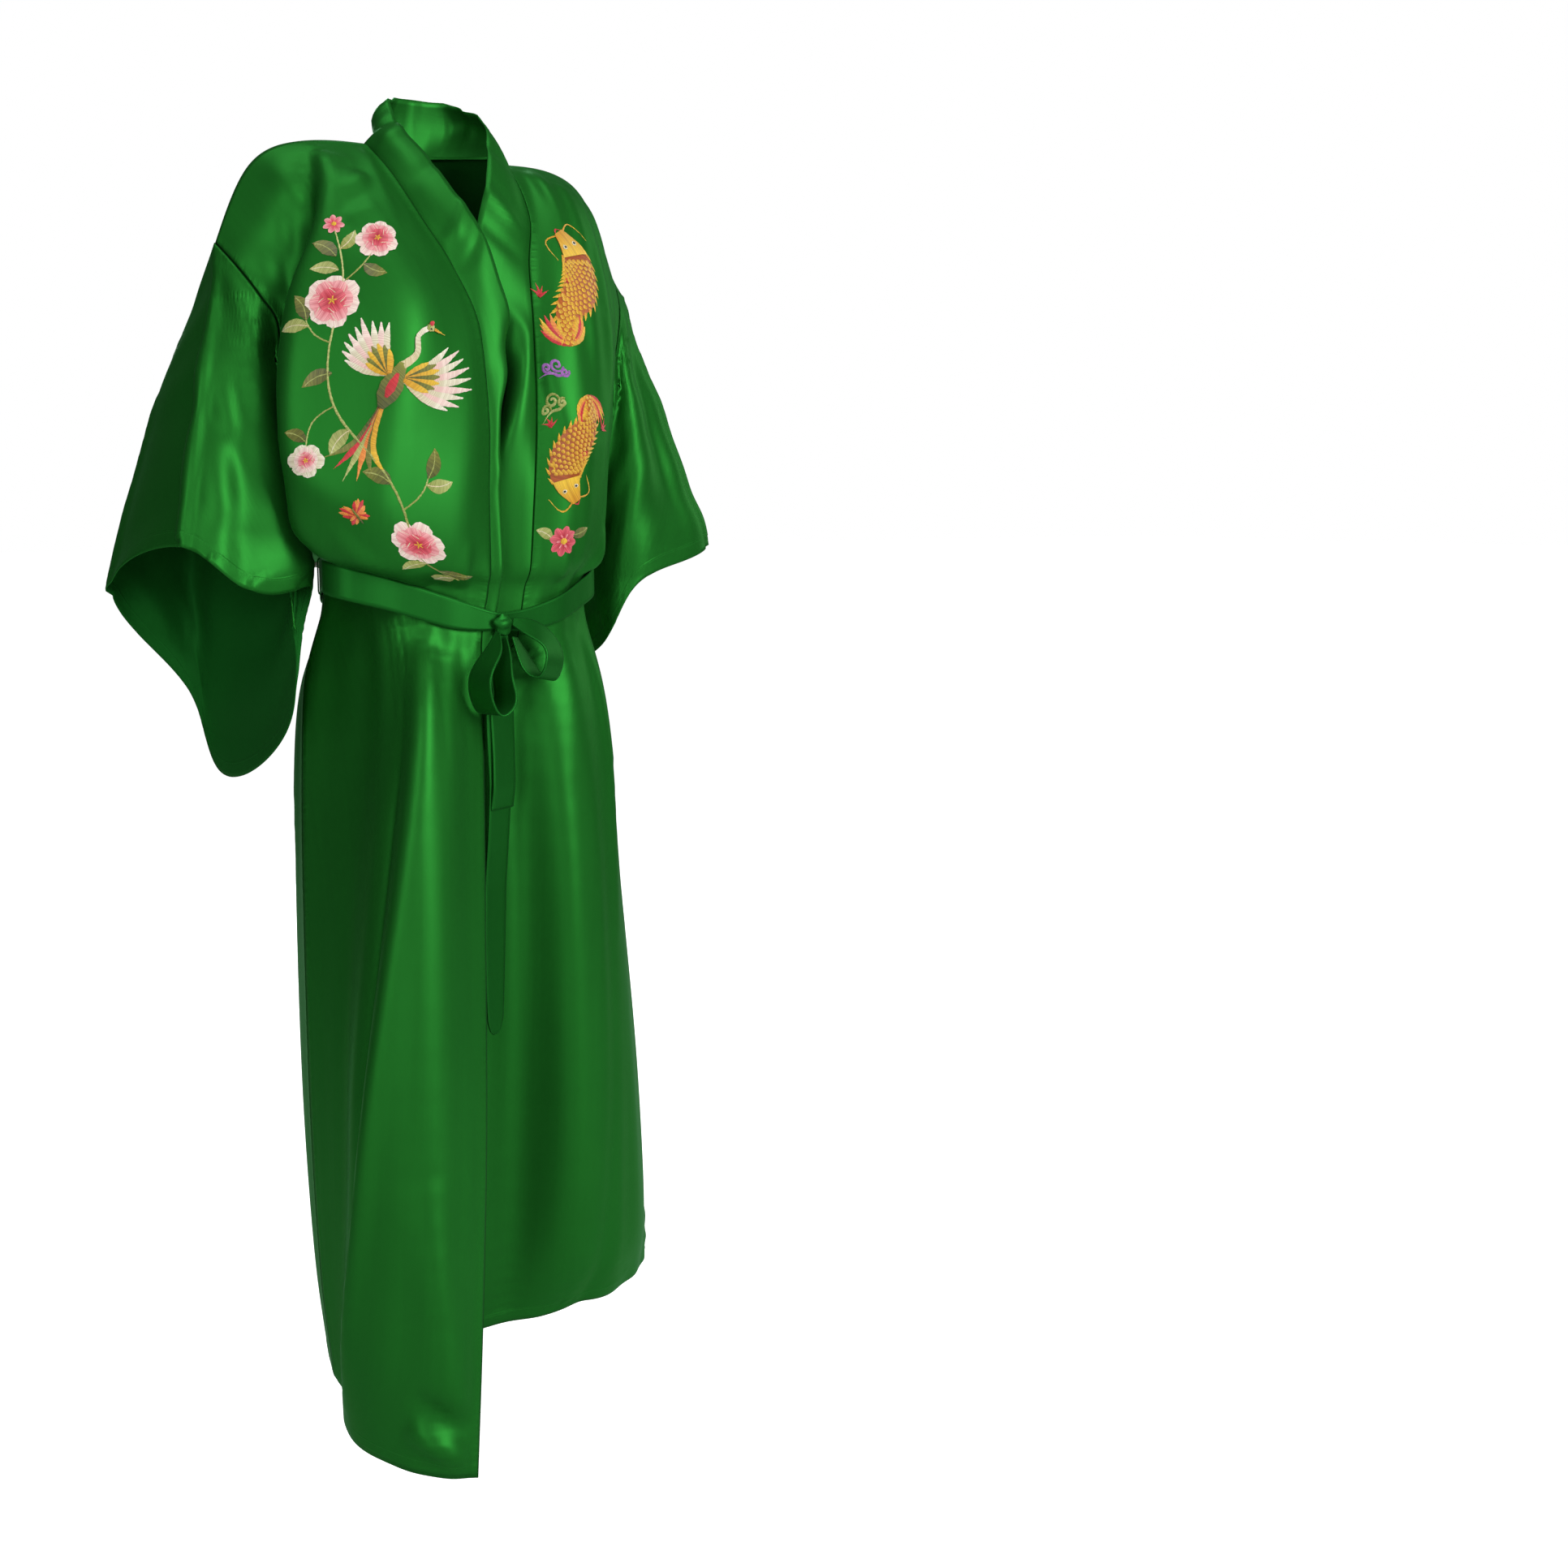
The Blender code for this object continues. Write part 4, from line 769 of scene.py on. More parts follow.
def add_creases(grid, creases, rows, columns, sign, closed=False):
    """Raises and sinks the creases, each along its own line on the sheet."""
    track = grid
    if closed:
        columns = np.append(columns, 1.0)
        track = np.concatenate([grid, grid[:, :1]], axis=1)
    points = grid.reshape(-1, 3)
    lift = np.zeros(len(points))
    places = np.tile(columns[:grid.shape[1]], grid.shape[0])
    along = np.linspace(0, 1, 25)
    for size in creases.values():
        across = size["across"] + (size["across_end"] - size["across"]) * along
        across += size["bow"] * 4 * along * (1 - along)
        down = size["level"] + (size["level_end"] - size["level"]) * along
        path = surface_point(track, rows, columns, down, np.clip(across, 0, 1))
        reach = 3 * size["width"]
        inside = (points > path.min(axis=0) - reach) & (points < path.max(axis=0) + reach)
        near = np.where(inside.all(axis=1))[0]
        if not len(near):
            continue
        best = np.linalg.norm(points[near, None] - path, axis=2).argmin(axis=1)
        first = np.clip(best - 1, 0, len(along) - 3)
        start, step = path[first], path[first + 2] - path[first]
        share = np.clip(((points[near] - start) * step).sum(axis=1) / (step ** 2).sum(axis=1), 0, 1)
        gap = np.linalg.norm(points[near] - start - share[:, None] * step, axis=1)
        width = size["width"] * (1 + size["lean"] * np.sign(places[near] - across[best]))
        run = np.clip(along[best] + (share - 0.5) * 0.04, 0, 1)
        lift[near] += size["height"] * np.sin(np.pi * run) ** 0.8 * np.exp(-(gap / width) ** 2)
    return grid + lift.reshape(grid.shape[:2])[:, :, None] * outward_of(grid, sign, closed)


def ripple(grid, rows, columns, sign, seed, strength, closed=False):
    """Slight uneven swell of hanging cloth, longer down the sheet than across it."""
    chance = np.random.default_rng(seed)
    lift = np.zeros(grid.shape[:2])
    tall = ((rows - rows[0]) / (rows[-1] - rows[0]))[:, None]
    turn = 2 * np.pi
    for _ in range(RIPPLES):
        turns_across = chance.integers(1, 9) if closed else chance.uniform(0.8, 8.0)
        turns_down = chance.uniform(0.3, 3.2)
        phase = chance.uniform(0, turn, 2)
        wave = np.sin(turn * turns_across * columns + phase[0] + 1.2 * np.sin(turn * turns_down * 0.6 * tall))
        lift += wave * np.sin(turn * turns_down * tall + phase[1]) / (1 + 0.4 * turns_across)
    lift *= strength / np.abs(lift).max()
    return grid + lift[:, :, None] * outward_of(grid, sign, closed)


def smoothed(grid, rounds, keep, closed=False):
    """Evens the sheet; keep holds 1 where it stays as it is."""
    result = grid.copy()
    free = (1 - keep)[:, :, None]
    for _ in range(rounds):
        moved = result.copy()
        moved[1:-1] = 0.25 * result[:-2] + 0.5 * result[1:-1] + 0.25 * result[2:]
        evened = 0.25 * np.roll(moved, 1, axis=1) + 0.5 * moved + 0.25 * np.roll(moved, -1, axis=1)
        if not closed:
            evened[:, [0, -1]] = moved[:, [0, -1]]
        result += free * (evened - result)
    return result


def finer(values, parts):
    """More places between the given ones, evenly in each gap."""
    shares = np.arange(parts) / parts
    return np.append((values[:-1, None] * (1 - shares) + values[1:, None] * shares).ravel(), values[-1])


def eased(tail, end):
    """Draws a hanging ribbon into one long easy line; end is the length over which it narrows."""
    depth = tail[:, :, 1].mean(axis=1)
    reach = len(tail) // 8
    wide = np.pad(depth, 2 * reach, mode="edge")
    front = np.lib.stride_tricks.sliding_window_view(wide, 2 * reach + 1).min(axis=1)
    front = np.convolve(front, np.ones(2 * reach + 1) / (2 * reach + 1), mode="valid")
    blend = np.clip(np.arange(len(tail)) / reach, 0, 1) ** 2
    result = tail + ((front - depth) * blend)[:, None, None] * (0, 1, 0)
    if end:
        left = np.linalg.norm(tail[-1].mean(axis=0) - tail.mean(axis=1), axis=1)
        narrow = 0.3 + 0.7 * np.sqrt(np.clip(left / end, 0, 1))
        middle = result.mean(axis=1, keepdims=True)
        result = middle + (result - middle) * narrow[:, None, None]
    return result


class Robe:
    """The worn cloth as fine grids of points, worked out once from the tables."""

    def __init__(self, sizes):
        coarse, shares = level_places(LENGTH_STEPS), np.linspace(0, 1, FRONT_STEPS + 1)
        under = (back_sheet(coarse, back_shares(shares, NECK_STEPS)),
                 front_sheet(FRONT_RIGHT_ROWS, FRONT_RIGHT_FOLDS, coarse, shares),
                 front_sheet(FRONT_LEFT_ROWS, FRONT_LEFT_FOLDS, coarse, shares),
                 band_sheet(*BAND_STEPS))
        self.belt = belt_middle(BELT_STEPS, np.concatenate([sampled(grid) for grid in under]))
        self.knot_at = self.belt[0] - (0, 0.5 * BELT_CLOTH + 0.93 * KNOT_SIZE[1] + TOUCH, KNOT_DROP)
        levels = finer(coarse, sizes.length_parts)
        shares = np.linspace(0, 1, sizes.front_steps + 1)
        wide = back_shares(shares, sizes.neck_steps)
        right = front_sheet(FRONT_RIGHT_ROWS, FRONT_RIGHT_FOLDS, levels, shares)
        left = front_sheet(FRONT_LEFT_ROWS, FRONT_LEFT_FOLDS, levels, shares)
        self.grids = {}
        for name, grid, creases, places, sign, seed, strength in (
                ("back", back_sheet(levels, wide), BACK_CREASES, wide, 1.0, 10, 0.0035),
                ("front_right", right, FRONT_RIGHT_CREASES, shares, 1.0, 11, 0.0030),
                ("front_left", left, FRONT_LEFT_CREASES, shares, -1.0, 12, 0.0030)):
            grid = self.shaped(grid, creases, levels, places, sign, seed, strength)
            self.grids[name] = self.held_under_belt(grid)
        turns = finer(np.append(sleeve_turns(coarse), 1.0), SLEEVE_PARTS)[:-1]
        lengths = np.linspace(0, 1, sizes.sleeve_steps + 1)
        for name, side, creases, seed in (("sleeve_right", -1, SLEEVE_RIGHT_CREASES, 13),
                                          ("sleeve_left", 1, SLEEVE_LEFT_CREASES, 14)):
            grid = sleeve_sheet(side, turns, lengths)
            self.grids[name] = self.shaped(grid, creases, lengths, turns, -side, seed, 0.0040, closed=True)
        self.grids["collar_band"] = self.band()

    def held_under_belt(self, grid):
        """Draws the cloth in where the belt lies on it."""
        offsets = grid[:, :, :2] - BELT_CENTRE
        radius = np.linalg.norm(offsets, axis=2)
        around = np.arange(len(self.belt) + 1) / len(self.belt)
        ring = np.concatenate([self.belt, self.belt[:1]])
        ring = np.column_stack([np.linalg.norm(ring[:, :2] - BELT_CENTRE, axis=1), ring[:, 2]])
        reach, height = (np.interp(round_waist(offsets), around, ring[:, part]) for part in (0, 1))
        past = np.clip(np.abs(grid[:, :, 2] - height) - 0.5 * BELT_WIDTH, 0, None)
        limit = reach - BELT_BITE + SWELL_SLOPE * past + SWELL * np.sqrt(past / SWELL)
        scale = (1 + (radius / limit) ** BELT_GRIP) ** (-1 / BELT_GRIP)
        return np.concatenate([BELT_CENTRE + offsets * scale[:, :, None], grid[:, :, 2:]], axis=2)

    def shaped(self, grid, creases, rows, shares, sign, seed, strength, closed=False):
        """Smooths the sheet, then gives it its creases and its slight swell; its seams and shoulder stay."""
        hold = np.exp(-(rows / (ARMHOLE_HOLD if closed else SHOULDER_HOLD)) ** 2)[:, None] + 0 * shares
        if not closed:
            hold = hold + np.exp(-(shares / SEAM_HOLD) ** 2) + np.exp(-((1 - shares) / SEAM_HOLD) ** 2)
        hold = np.clip(hold, 0, 1)
        base = smoothed(grid, SMOOTH_ROUNDS, hold, closed)
        creased = add_creases(base, creases, rows, shares, sign, closed)
        rippled = ripple(creased, rows, shares, sign, seed, strength, closed)
        return base + (rippled - base) * (1 - hold)[:, :, None]

    def band(self):
        """The collar band with its seam allowance tucked inside the panels."""
        grid = band_sheet(*BAND_FINE)
        rows, columns = np.linspace(0, 1, len(grid))[:, None], np.linspace(0, 1, grid.shape[1])
        length = reach_along(grid[:, 4])[-1]
        lift = np.zeros(grid.shape[:2])
        for size in BAND_CREASES.values():
            gap = (rows - size["along"]) * length - size["slant"] * (columns - 0.5)
            lift += size["height"] * np.exp(-(gap / size["width"]) ** 2) * np.minimum(1, 2.5 * columns)
        grid = grid + lift[:, :, None] * outward_of(grid, 1.0)
        tuck = grid[:, 0] + unit(grid[:, 0] - grid[:, 1]) * TUCK_REACH
        tuck += unit(-grid[:, 0] * (1, 1, 0)) * TUCK_DEPTH
        return np.concatenate([tuck[:, None], grid], axis=1)


def lengths(grid, axis):
    """Length along each line of the grid up to each of its points."""
    return np.insert(np.cumsum(np.linalg.norm(np.diff(grid, axis=axis), axis=2), axis=axis), 0, 0, axis=axis)


def quads(index):
    """Corner numbers of the faces between the points of a grid."""
    return np.stack([index[:-1, :-1], index[:-1, 1:], index[1:, 1:], index[1:, :-1]], axis=2).reshape(-1, 4)


def place_mesh(name, points, faces, maps, materials):
    """Puts a smooth piece in the scene with its two maps, riding on the frame."""
    mesh = bpy.data.meshes.new(name)
    mesh.from_pydata(points.reshape(-1, 3).tolist(), [], faces.tolist())
    for label, pairs in zip(("cut", "edges"), maps):
        mesh.uv_layers.new(name=label).data.foreach_set("uv", pairs.ravel())
    for one in materials:
        mesh.materials.append(one)
    mesh.polygons.foreach_set("use_smooth", [True] * len(mesh.polygons))
    mesh.update()
    piece = bpy.data.objects.new(name, mesh)
    bpy.context.scene.collection.objects.link(piece)
    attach(piece, "root")
    return piece


def place_grid(name, grid, materials, closed=False, flip=False):
    """A piece from a grid of points: its maps are its widths and lengths, and how far its edges are."""
    index, wide = np.arange(grid[..., 0].size).reshape(grid.shape[:2]), grid
    if closed:
        index, wide = (np.concatenate([one, one[:, :1]], axis=1) for one in (index, grid))
    across, down = lengths(wide, 1), lengths(wide, 0)
    side = np.ones_like(across) if closed else np.minimum(across, across[:, -1:] - across)
    order = -1 if flip else 1
    corners = quads(np.arange(across.size).reshape(across.shape))[:, ::order]
    pairs = ((across, down), (side, down[-1:] - down))
    maps = [np.stack(pair, axis=2).reshape(-1, 2)[corners] for pair in pairs]
    return place_mesh(name, grid, quads(index)[:, ::order], maps, materials)


def place_sheet(name, grid, wall, materials, stands_for, closed=False, flip=False):
    """A cloth piece with its wall, in place of the solids it stands for."""
    piece = place_grid(name, grid, materials, closed, flip)
    shell = piece.modifiers.new("cloth wall", "SOLIDIFY")
    shell.thickness = wall
    shell.offset = 0.0
    shell.material_offset = len(materials) - 1
    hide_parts(*stands_for)
    return piece


class Shades:
    """A shader tree and short ways of adding to it."""

    def __init__(self, tree):
        self.tree = tree

    def feed(self, slot, value):
        """Gives an input its number or colour, or links it to a socket."""
        if isinstance(value, bpy.types.NodeSocket):
            self.tree.links.new(value, slot)
        else:
            slot.default_value = value

    def fill(self, node, **values):
        """Sets a node's settings and feeds its inputs by name."""
        for name, value in values.items():
            if hasattr(node, name):
                setattr(node, name, value)
            else:
                self.feed(node.inputs[name.replace("_", " ")], value)
        return node

    def add(self, kind, **values):
        return self.fill(self.tree.nodes.new("ShaderNode" + kind), **values)

    def group(self, name, build, **values):
        return self.add("Group", node_tree=bpy.data.node_groups.get(name) or build(), **values).outputs

    def math(self, operation, *values):
        """The result of a math node."""
        node = self.add("Math", operation=operation)
        for slot, value in zip(node.inputs, values):
            self.feed(slot, value)
        return node.outputs[0]

    def map(self, name):
        """A map and its two numbers."""
        place = self.add("UVMap", uv_map=name).outputs[0]
        split = self.add("SeparateXYZ", Vector=place).outputs
        return place, split[0], split[1]

    def noise(self, place, scale, detail, roughness):
        return self.add("TexNoise", Vector=place, Scale=scale, Detail=detail, Roughness=roughness).outputs[0]

    def stretched(self, across, down):
        return self.add("CombineXYZ", X=across, Y=down).outputs[0]

    def near(self, distance, far, close):
        """One where the distance is close, softly down to nought where it is far."""
        return self.add("MapRange", interpolation_type="SMOOTHSTEP", Value=distance, From_Min=far,
                        From_Max=close).outputs[0]

    def mix(self, share, first, second):
        return self.add("Mix", data_type="RGBA", Factor=share, A=first, B=second).outputs["Result"]

    def bump(self, height, strength):
        return self.add("Bump", Strength=strength, Distance=1.0, Height=height).outputs[0]


def effect_group(name, inputs, outputs):
    """Starts a group of shared shader nodes with named sockets."""
    tree = bpy.data.node_groups.new(name, "ShaderNodeTree")
    for label, value in inputs.items():
        kind = "NodeSocketColor" if isinstance(value, tuple) else "NodeSocketFloat"
        tree.interface.new_socket(label, in_out="INPUT", socket_type=kind).default_value = value
    for label in outputs:
        kind = "NodeSocketColor" if label == "Colour" else "NodeSocketFloat"
        tree.interface.new_socket(label, in_out="OUTPUT", socket_type=kind)
    return Shades(tree), tree.nodes.new("NodeGroupInput").outputs, tree.nodes.new("NodeGroupOutput")


def satin_group():
    """Warp-faced satin: fine long floats, slight slubs and a soft change of tone."""
    made, source, result = effect_group(
        "Satin weave", {"Colour": (0.01, 0.2, 0.03, 1), "Tone change": 0.12, "Float width": 0.0006},
        ("Colour", "Roughness", "Height"))
    cut, across, down = made.map("cut")
    spread = made.math("DIVIDE", 1.0, source["Float width"])
    slow = made.math("MULTIPLY", down, made.math("MULTIPLY", spread, 0.06))
    floats = made.noise(made.stretched(made.math("MULTIPLY", across, spread), slow), 1.0, 3.0, 0.6)
    broad = made.noise(cut, 9.0, 3.0, 0.5)
    streak = made.stretched(made.math("MULTIPLY", across, 160.0), made.math("MULTIPLY", down, 5.0))
    streaks = made.noise(streak, 1.0, 2.0, 0.5)
    tone = made.math("ADD", made.math("MULTIPLY", broad, 0.8), made.math("MULTIPLY", streaks, 0.5))
    tone = made.math("ADD", tone, made.math("MULTIPLY", floats, 0.5))
    level = made.math("MULTIPLY_ADD", made.math("SUBTRACT", tone, 0.9), source["Tone change"], 1.0)
    rough = made.math("MULTIPLY_ADD", floats, 0.10, 0.38)
    height = made.math("MULTIPLY", floats, 0.00006)
    made.fill(result, Colour=made.add("HueSaturation", Color=source["Colour"], Value=level).outputs[0],
              Roughness=made.math("MULTIPLY_ADD", streaks, 0.06, rough),
              Height=made.math("MULTIPLY_ADD", streaks, 0.00012, height))
    return made.tree


def stitch_group():
    """A turned hem: the step of the turned edge and a row of small stitches along it."""
    made, source, result = effect_group(
        "Hem stitches", {"Distance": 1.0, "Along": 0.0, "Hem width": 0.012, "Stitch length": 0.003},
        ("Thread", "Height"))
    past = made.math("SUBTRACT", source["Distance"], source["Hem width"])
    edge = made.near(past, 0.0010, 0.0)
    line = made.near(made.math("ABSOLUTE", made.math("ADD", past, 0.0015)), 0.0005, 0.0001)
    phase = made.math("FRACT", made.math("DIVIDE", source["Along"], source["Stitch length"]))
    thread = made.math("MULTIPLY", line, made.math("LESS_THAN", phase, 0.72))
    height = made.math("MULTIPLY_ADD", line, -0.0003, made.math("MULTIPLY", edge, 0.0003))
    made.fill(result, Thread=thread, Height=made.math("MULTIPLY_ADD", thread, 0.0003, height))
    return made.tree


def seam_group():
    """A sewn seam: a thin sunken line with painted shade along it, and slight puckers across it."""
    made, source, result = effect_group("Seam line", {"Distance": 1.0, "Along": 0.0}, ("Dark", "Height"))
    sunk_and_shaded = made.near(source["Distance"], 0.0016, 0.0002)
    drawn = made.near(source["Distance"], 0.012, 0.0)
    pucker = made.add("TexNoise", noise_dimensions="1D", Scale=1.0, Detail=2.0,
                      W=made.math("MULTIPLY", source["Along"], 130.0))
    height = made.math("MULTIPLY", made.math("MULTIPLY", drawn, pucker.outputs[0]), 0.0016)
    # The sunken line is both pressed into the cloth and given painted shade.
    made.fill(result, Dark=sunk_and_shaded, Height=made.math("MULTIPLY_ADD", sunk_and_shaded, -0.0007, height))
    return made.tree


def thread_group():
    """Silk thread: fine side by side threads, each a little lighter or darker; painted shade between them, a
    painted highlight on each.
    """
    made, source, result = effect_group(
        "Silk thread", {"Start": (1, 0, 0, 1), "End": (1, 1, 0, 1), "Pitch": 0.0006}, ("Colour", "Height"))
    place = made.math("DIVIDE", made.map("cut")[1], source["Pitch"])
    wave = made.math("ABSOLUTE", made.math("SINE", made.math("MULTIPLY", place, np.pi)))
    chance = made.add("TexWhiteNoise", noise_dimensions="1D", W=made.math("FLOOR", place)).outputs[0]
    blend = made.math("MULTIPLY_ADD", made.math("SUBTRACT", chance, 0.5), 0.5, made.map("edges")[1])
    blend.node.use_clamp = True
    # Painted shade in the gaps between threads and a painted highlight along each thread's middle, times a
    # random tone per thread.
    value = made.math("MULTIPLY", made.math("MULTIPLY_ADD", wave, 0.45, 0.62),
                      made.math("MULTIPLY_ADD", chance, 0.2, 0.9))
    light = made.add("HueSaturation", Color=made.mix(blend, source["Start"], source["End"]), Value=value)
    made.fill(result, Colour=light.outputs[0], Height=made.math("MULTIPLY", wave, 0.00025))
    return made.tree


def new_material(name):
    """A new material with its short ways and its Principled shader."""
    material = bpy.data.materials.new(name)
    material.use_nodes = True
    return material, Shades(material.node_tree), material.node_tree.nodes["Principled BSDF"]


def satin_material(name, colour, tone, gloss, hems, seam=None):
    """Satin for one kind of piece: its colour, weave, hem and shine."""
    material, made, shader = new_material(name)
    colour = np.array(colour)
    weave = made.group("Satin weave", satin_group, Colour=(*colour, 1.0), Tone_change=tone)
    height, shown = weave["Height"], weave["Colour"]
    maps = {label: made.map(label)[1:] for label in ("cut", "edges")}
    for across, along, width in hems:
        hem = made.group("Hem stitches", stitch_group, Hem_width=width, Distance=maps["edges"][across],
                         Along=maps["cut"][along])
        height = made.math("ADD", height, hem["Height"])
        shown = made.mix(made.math("MULTIPLY", hem["Thread"], 0.5), shown, (*colour * (1.8, 1.5, 1.8), 1.0))
    if seam:
        layer, across = seam
        line = made.group("Seam line", seam_group, Distance=maps[layer][across],
                          Along=maps["cut"][1 - across])
        height = made.math("ADD", height, line["Height"])
        # Painted shade along the seam's sunken line: the colour darkens there to 0.15 of the satin.
        shown = made.mix(made.math("MULTIPLY", line["Dark"], 0.75), shown, (*colour * 0.15, 1.0))
    made.fill(shader, Base_Color=shown, Roughness=weave["Roughness"], Normal=made.bump(height, 0.6),
              Metallic=0.62 * gloss, Specular_IOR_Level=0.20 * gloss, Specular_Tint=(0.25, 0.85, 0.40, 1.0),
              Sheen_Weight=0.03, Sheen_Roughness=0.45, Sheen_Tint=(0.25, 0.75, 0.35, 1.0))
    return material


def thread_material(name):
    """Silk embroidery thread in one of the thread colours."""
    label = name.capitalize() + " silk thread"
    if label in bpy.data.materials:
        return bpy.data.materials[label]
    material, made, shader = new_material(label)
    shades = list(THREADS[name].values())
    thread = made.group("Silk thread", thread_group, Start=(*shades[:3], 1.0), End=(*shades[3:], 1.0))
    made.fill(shader, Base_Color=thread["Colour"], Normal=made.bump(thread["Height"], 0.7), Roughness=0.42,
              Sheen_Weight=0.25, Sheen_Roughness=0.4)
    return material


def turned(turn):
    """A direction and its left side on the flat pattern; nought points up the cloth."""
    angle = np.radians(turn)
    way = np.array([np.sin(angle), -np.cos(angle)])
    return way, np.array([-way[1], way[0]])


def spotter(at, turn, size, hand=1.0):
    """Finds points by their shares of a size ahead of a place and to its left."""
    way, side = turned(turn)
    return lambda ahead, aside=0.0: at + way * ahead * size + side * hand * aside * size


class Stitching:
    """Satin stitches gathered as raised strips on a flat pattern, then laid on a cloth piece."""

    def __init__(self, seed):
        self.chance = np.random.default_rng(seed)
        self.flat, self.faces, self.slots, self.run, self.tone = [], [], [], [], []
        self.count = 0

    def stitch(self, pattern, mirror):
        """Stitches a pattern, a motif a line."""
        for line in pattern.strip().splitlines():
            words, points, rest = line.split(",")
            motif, *threads = words.split()
            points = np.array(points.split(), float).reshape(-1, 2) / 1000 * (mirror, 1)
            size, *rest = (float(one.strip("*")) * (mirror if "*" in one else 1) for one in rest.split())
            getattr(self, motif)(points if len(points) > 1 else points[0], size / 1000, *rest, *threads)

    def blade(self, spine, size, widths, thread, level=0.0, along=False, ragged=0.00025, rise=0.0005):
        """One filled stroke: its middle line, its half widths as shares of a size, and its thread."""
        spine, widths = np.array(spine), size * np.array(widths)
        length = np.linalg.norm(np.diff(spine, axis=0), axis=1).sum()
        count = max(3, int(np.ceil(length / STITCH_STEP)))
        wanted = np.linspace(0, 1, count + 1)
        middle = spine[0] + wanted[:, None] * (spine[1] - spine[0])
        if len(spine) > 2:
            middle = bending(spine, np.linspace(0, 1, len(spine)), wanted)
        half = np.maximum(np.interp(wanted, np.linspace(0, 1, len(widths)), widths), 0.0001)
        tangent = unit(np.gradient(middle, axis=0))
        normal = np.stack([-tangent[:, 1], tangent[:, 0]], axis=1)
        shares = np.linspace(-1, 1, 3 if half.max() < 0.0012 else 5)
        jitter = self.chance.uniform(-1, 1, (count + 1, 2)) * ragged
        reach = half[:, None] * shares
        reach[:, 0] -= jitter[:, 0]
        reach[:, -1] += jitter[:, 1]
        points = middle[:, None] + reach[:, :, None] * normal[:, None]
        dome = rise * np.sqrt(np.clip(1 - 0.92 * shares ** 2, 0, 1))
        dome = dome * np.clip(half / 0.001, 0.3, 1.0)[:, None]
        first = wanted[:, None] * length + 0 * reach
        pattern = (reach, first) if along else (first + 0.35 * reach, reach)
        faces = quads(self.count + np.arange(reach.size).reshape(reach.shape))
        self.flat.append(np.column_stack([points.reshape(-1, 2), (level * LAYER + dome).ravel()]))
        self.faces.append(faces)
        self.run.append(np.stack(pattern, axis=2).reshape(-1, 2))
        self.tone.append(np.stack([wanted[:, None] + 0 * reach, shares + 0 * reach], axis=2).reshape(-1, 2))
        self.slots.append(np.full(len(faces), list(THREADS).index(thread)))
        self.count += reach.size

    def leaf(self, at, size, turn, thread):
        """A pointed leaf with a raised vein."""
        spot = spotter(at, turn, size)
        spine = [spot(0), spot(0.35, 0.09), spot(0.7, 0.075), spot(1)]
        self.blade(spine, 0.26 * size, [0.1, 0.75, 1.0, 0.85, 0.5, 0.0], thread)
        vein = "lime" if thread != "lime" else "cream"
        self.blade(spine[:3] + [spot(0.9)], 0.001, [0.5, 0.4, 0.3], vein, 1.2, rise=0.0003)

    def stem(self, points, size):
        self.blade(points, size, [1, 1, 0.6], "lime", 0.2)

    def blossom(self, at, size, turn, fewer=0, *threads):
        """A full blossom: rings of rounded petals, the inner ones over the outer."""
        rings = zip((threads or ("rose", "pink", "blush"))[::-1], (7, 6, 4), (1.0, 0.74, 0.46))
        for ring, (thread, count, share) in enumerate(rings):
            count = int(count - fewer)
            for number in range(count):
                angle = turn + 360.0 * (number + 0.5 * (ring % 2)) / count + self.chance.uniform(-6, 6)
                spread = 2.4 * size * share / count
                spot = spotter(at, angle, size * share * self.chance.uniform(0.88, 1.06))
                self.blade([spot(0.12), spot(0.6), spot(1)], spread, [0.35, 0.8, 1.05, 1.1, 0.95, 0.45],
                           thread, 0.3 + ring, along=True, ragged=0.0005)
                aside = turned(angle)[1] * spread
                self.blade([spot(0.35) + aside * 0.85, spot(0.98) + aside * 0.55], 0.001, [0.35, 0.3],
                           "cream", 1.1 + ring, rise=0.0002)
        for number in range(5):
            tip = spotter(at, turn + 72 * number + 20, size)(0.16)
            self.blade([at, tip], 0.001, [0.6, 0.8, 0.4], "gold", 3.2)

    def daisy(self, at, size, turn, petals, thread):
        """A small open flower."""
        for number in range(int(petals)):
            spot = spotter(at, turn + 360.0 * number / petals + self.chance.uniform(-4, 4), size)
            self.blade([spot(0.2), spot(1)], size, [0.12, 0.24, 0.30, 0.26, 0.10], thread, 0.4, along=True)
        self.dot(at, 0.22 * size, size, [0.1, 0.24, 0.1], "gold", 1.6)

    def dot(self, at, reach, size, widths, thread, level):
        self.blade([at - (reach, 0), at + (reach, 0)], size, widths, thread, level)

    def swirl(self, at, size, turn, hand, thread):
        """A curling cloud of three coils on a tail."""
        spot = spotter(at, turn, size)
        for ahead, aside, scale, twist in ((0, -0.62, 0.72, 30), (0, 0.62, 0.66, -40), (0.35, 0, 1, 0)):
            angles = np.radians(turn + twist + hand * np.linspace(0, 500, 15))
            radius = 0.5 * size * scale * np.linspace(1.0, 0.16, 15)
            coil = spot(ahead, aside) + np.stack([np.cos(angles), np.sin(angles)], axis=1) * radius[:, None]
            self.blade(coil, size, [0.07, 0.10, 0.095, 0.06], thread, 0.4)
        tail = [spot(0, 0.75), spot(-0.35, 0.25), spot(-0.30, -0.30), spot(-0.75, -1.1)]
        self.blade(tail, size, [0.05, 0.11, 0.09, 0.0], thread, 0.1)

    def flame(self, at, size, turn):
        """Four curling tongues on one root."""
        spot = spotter(at, turn, size)
        for number, (lean, tall) in enumerate(((-0.55, 0.72), (0.02, 1.1), (0.50, 0.80), (0.85, 0.40))):
            spine = [at, spot(0.45 * tall, lean * 0.30 + 0.10), spot(tall, lean)]
            self.blade(spine, size, [0.10, 0.12, 0.07, 0.0], "red", 0.2 * number)

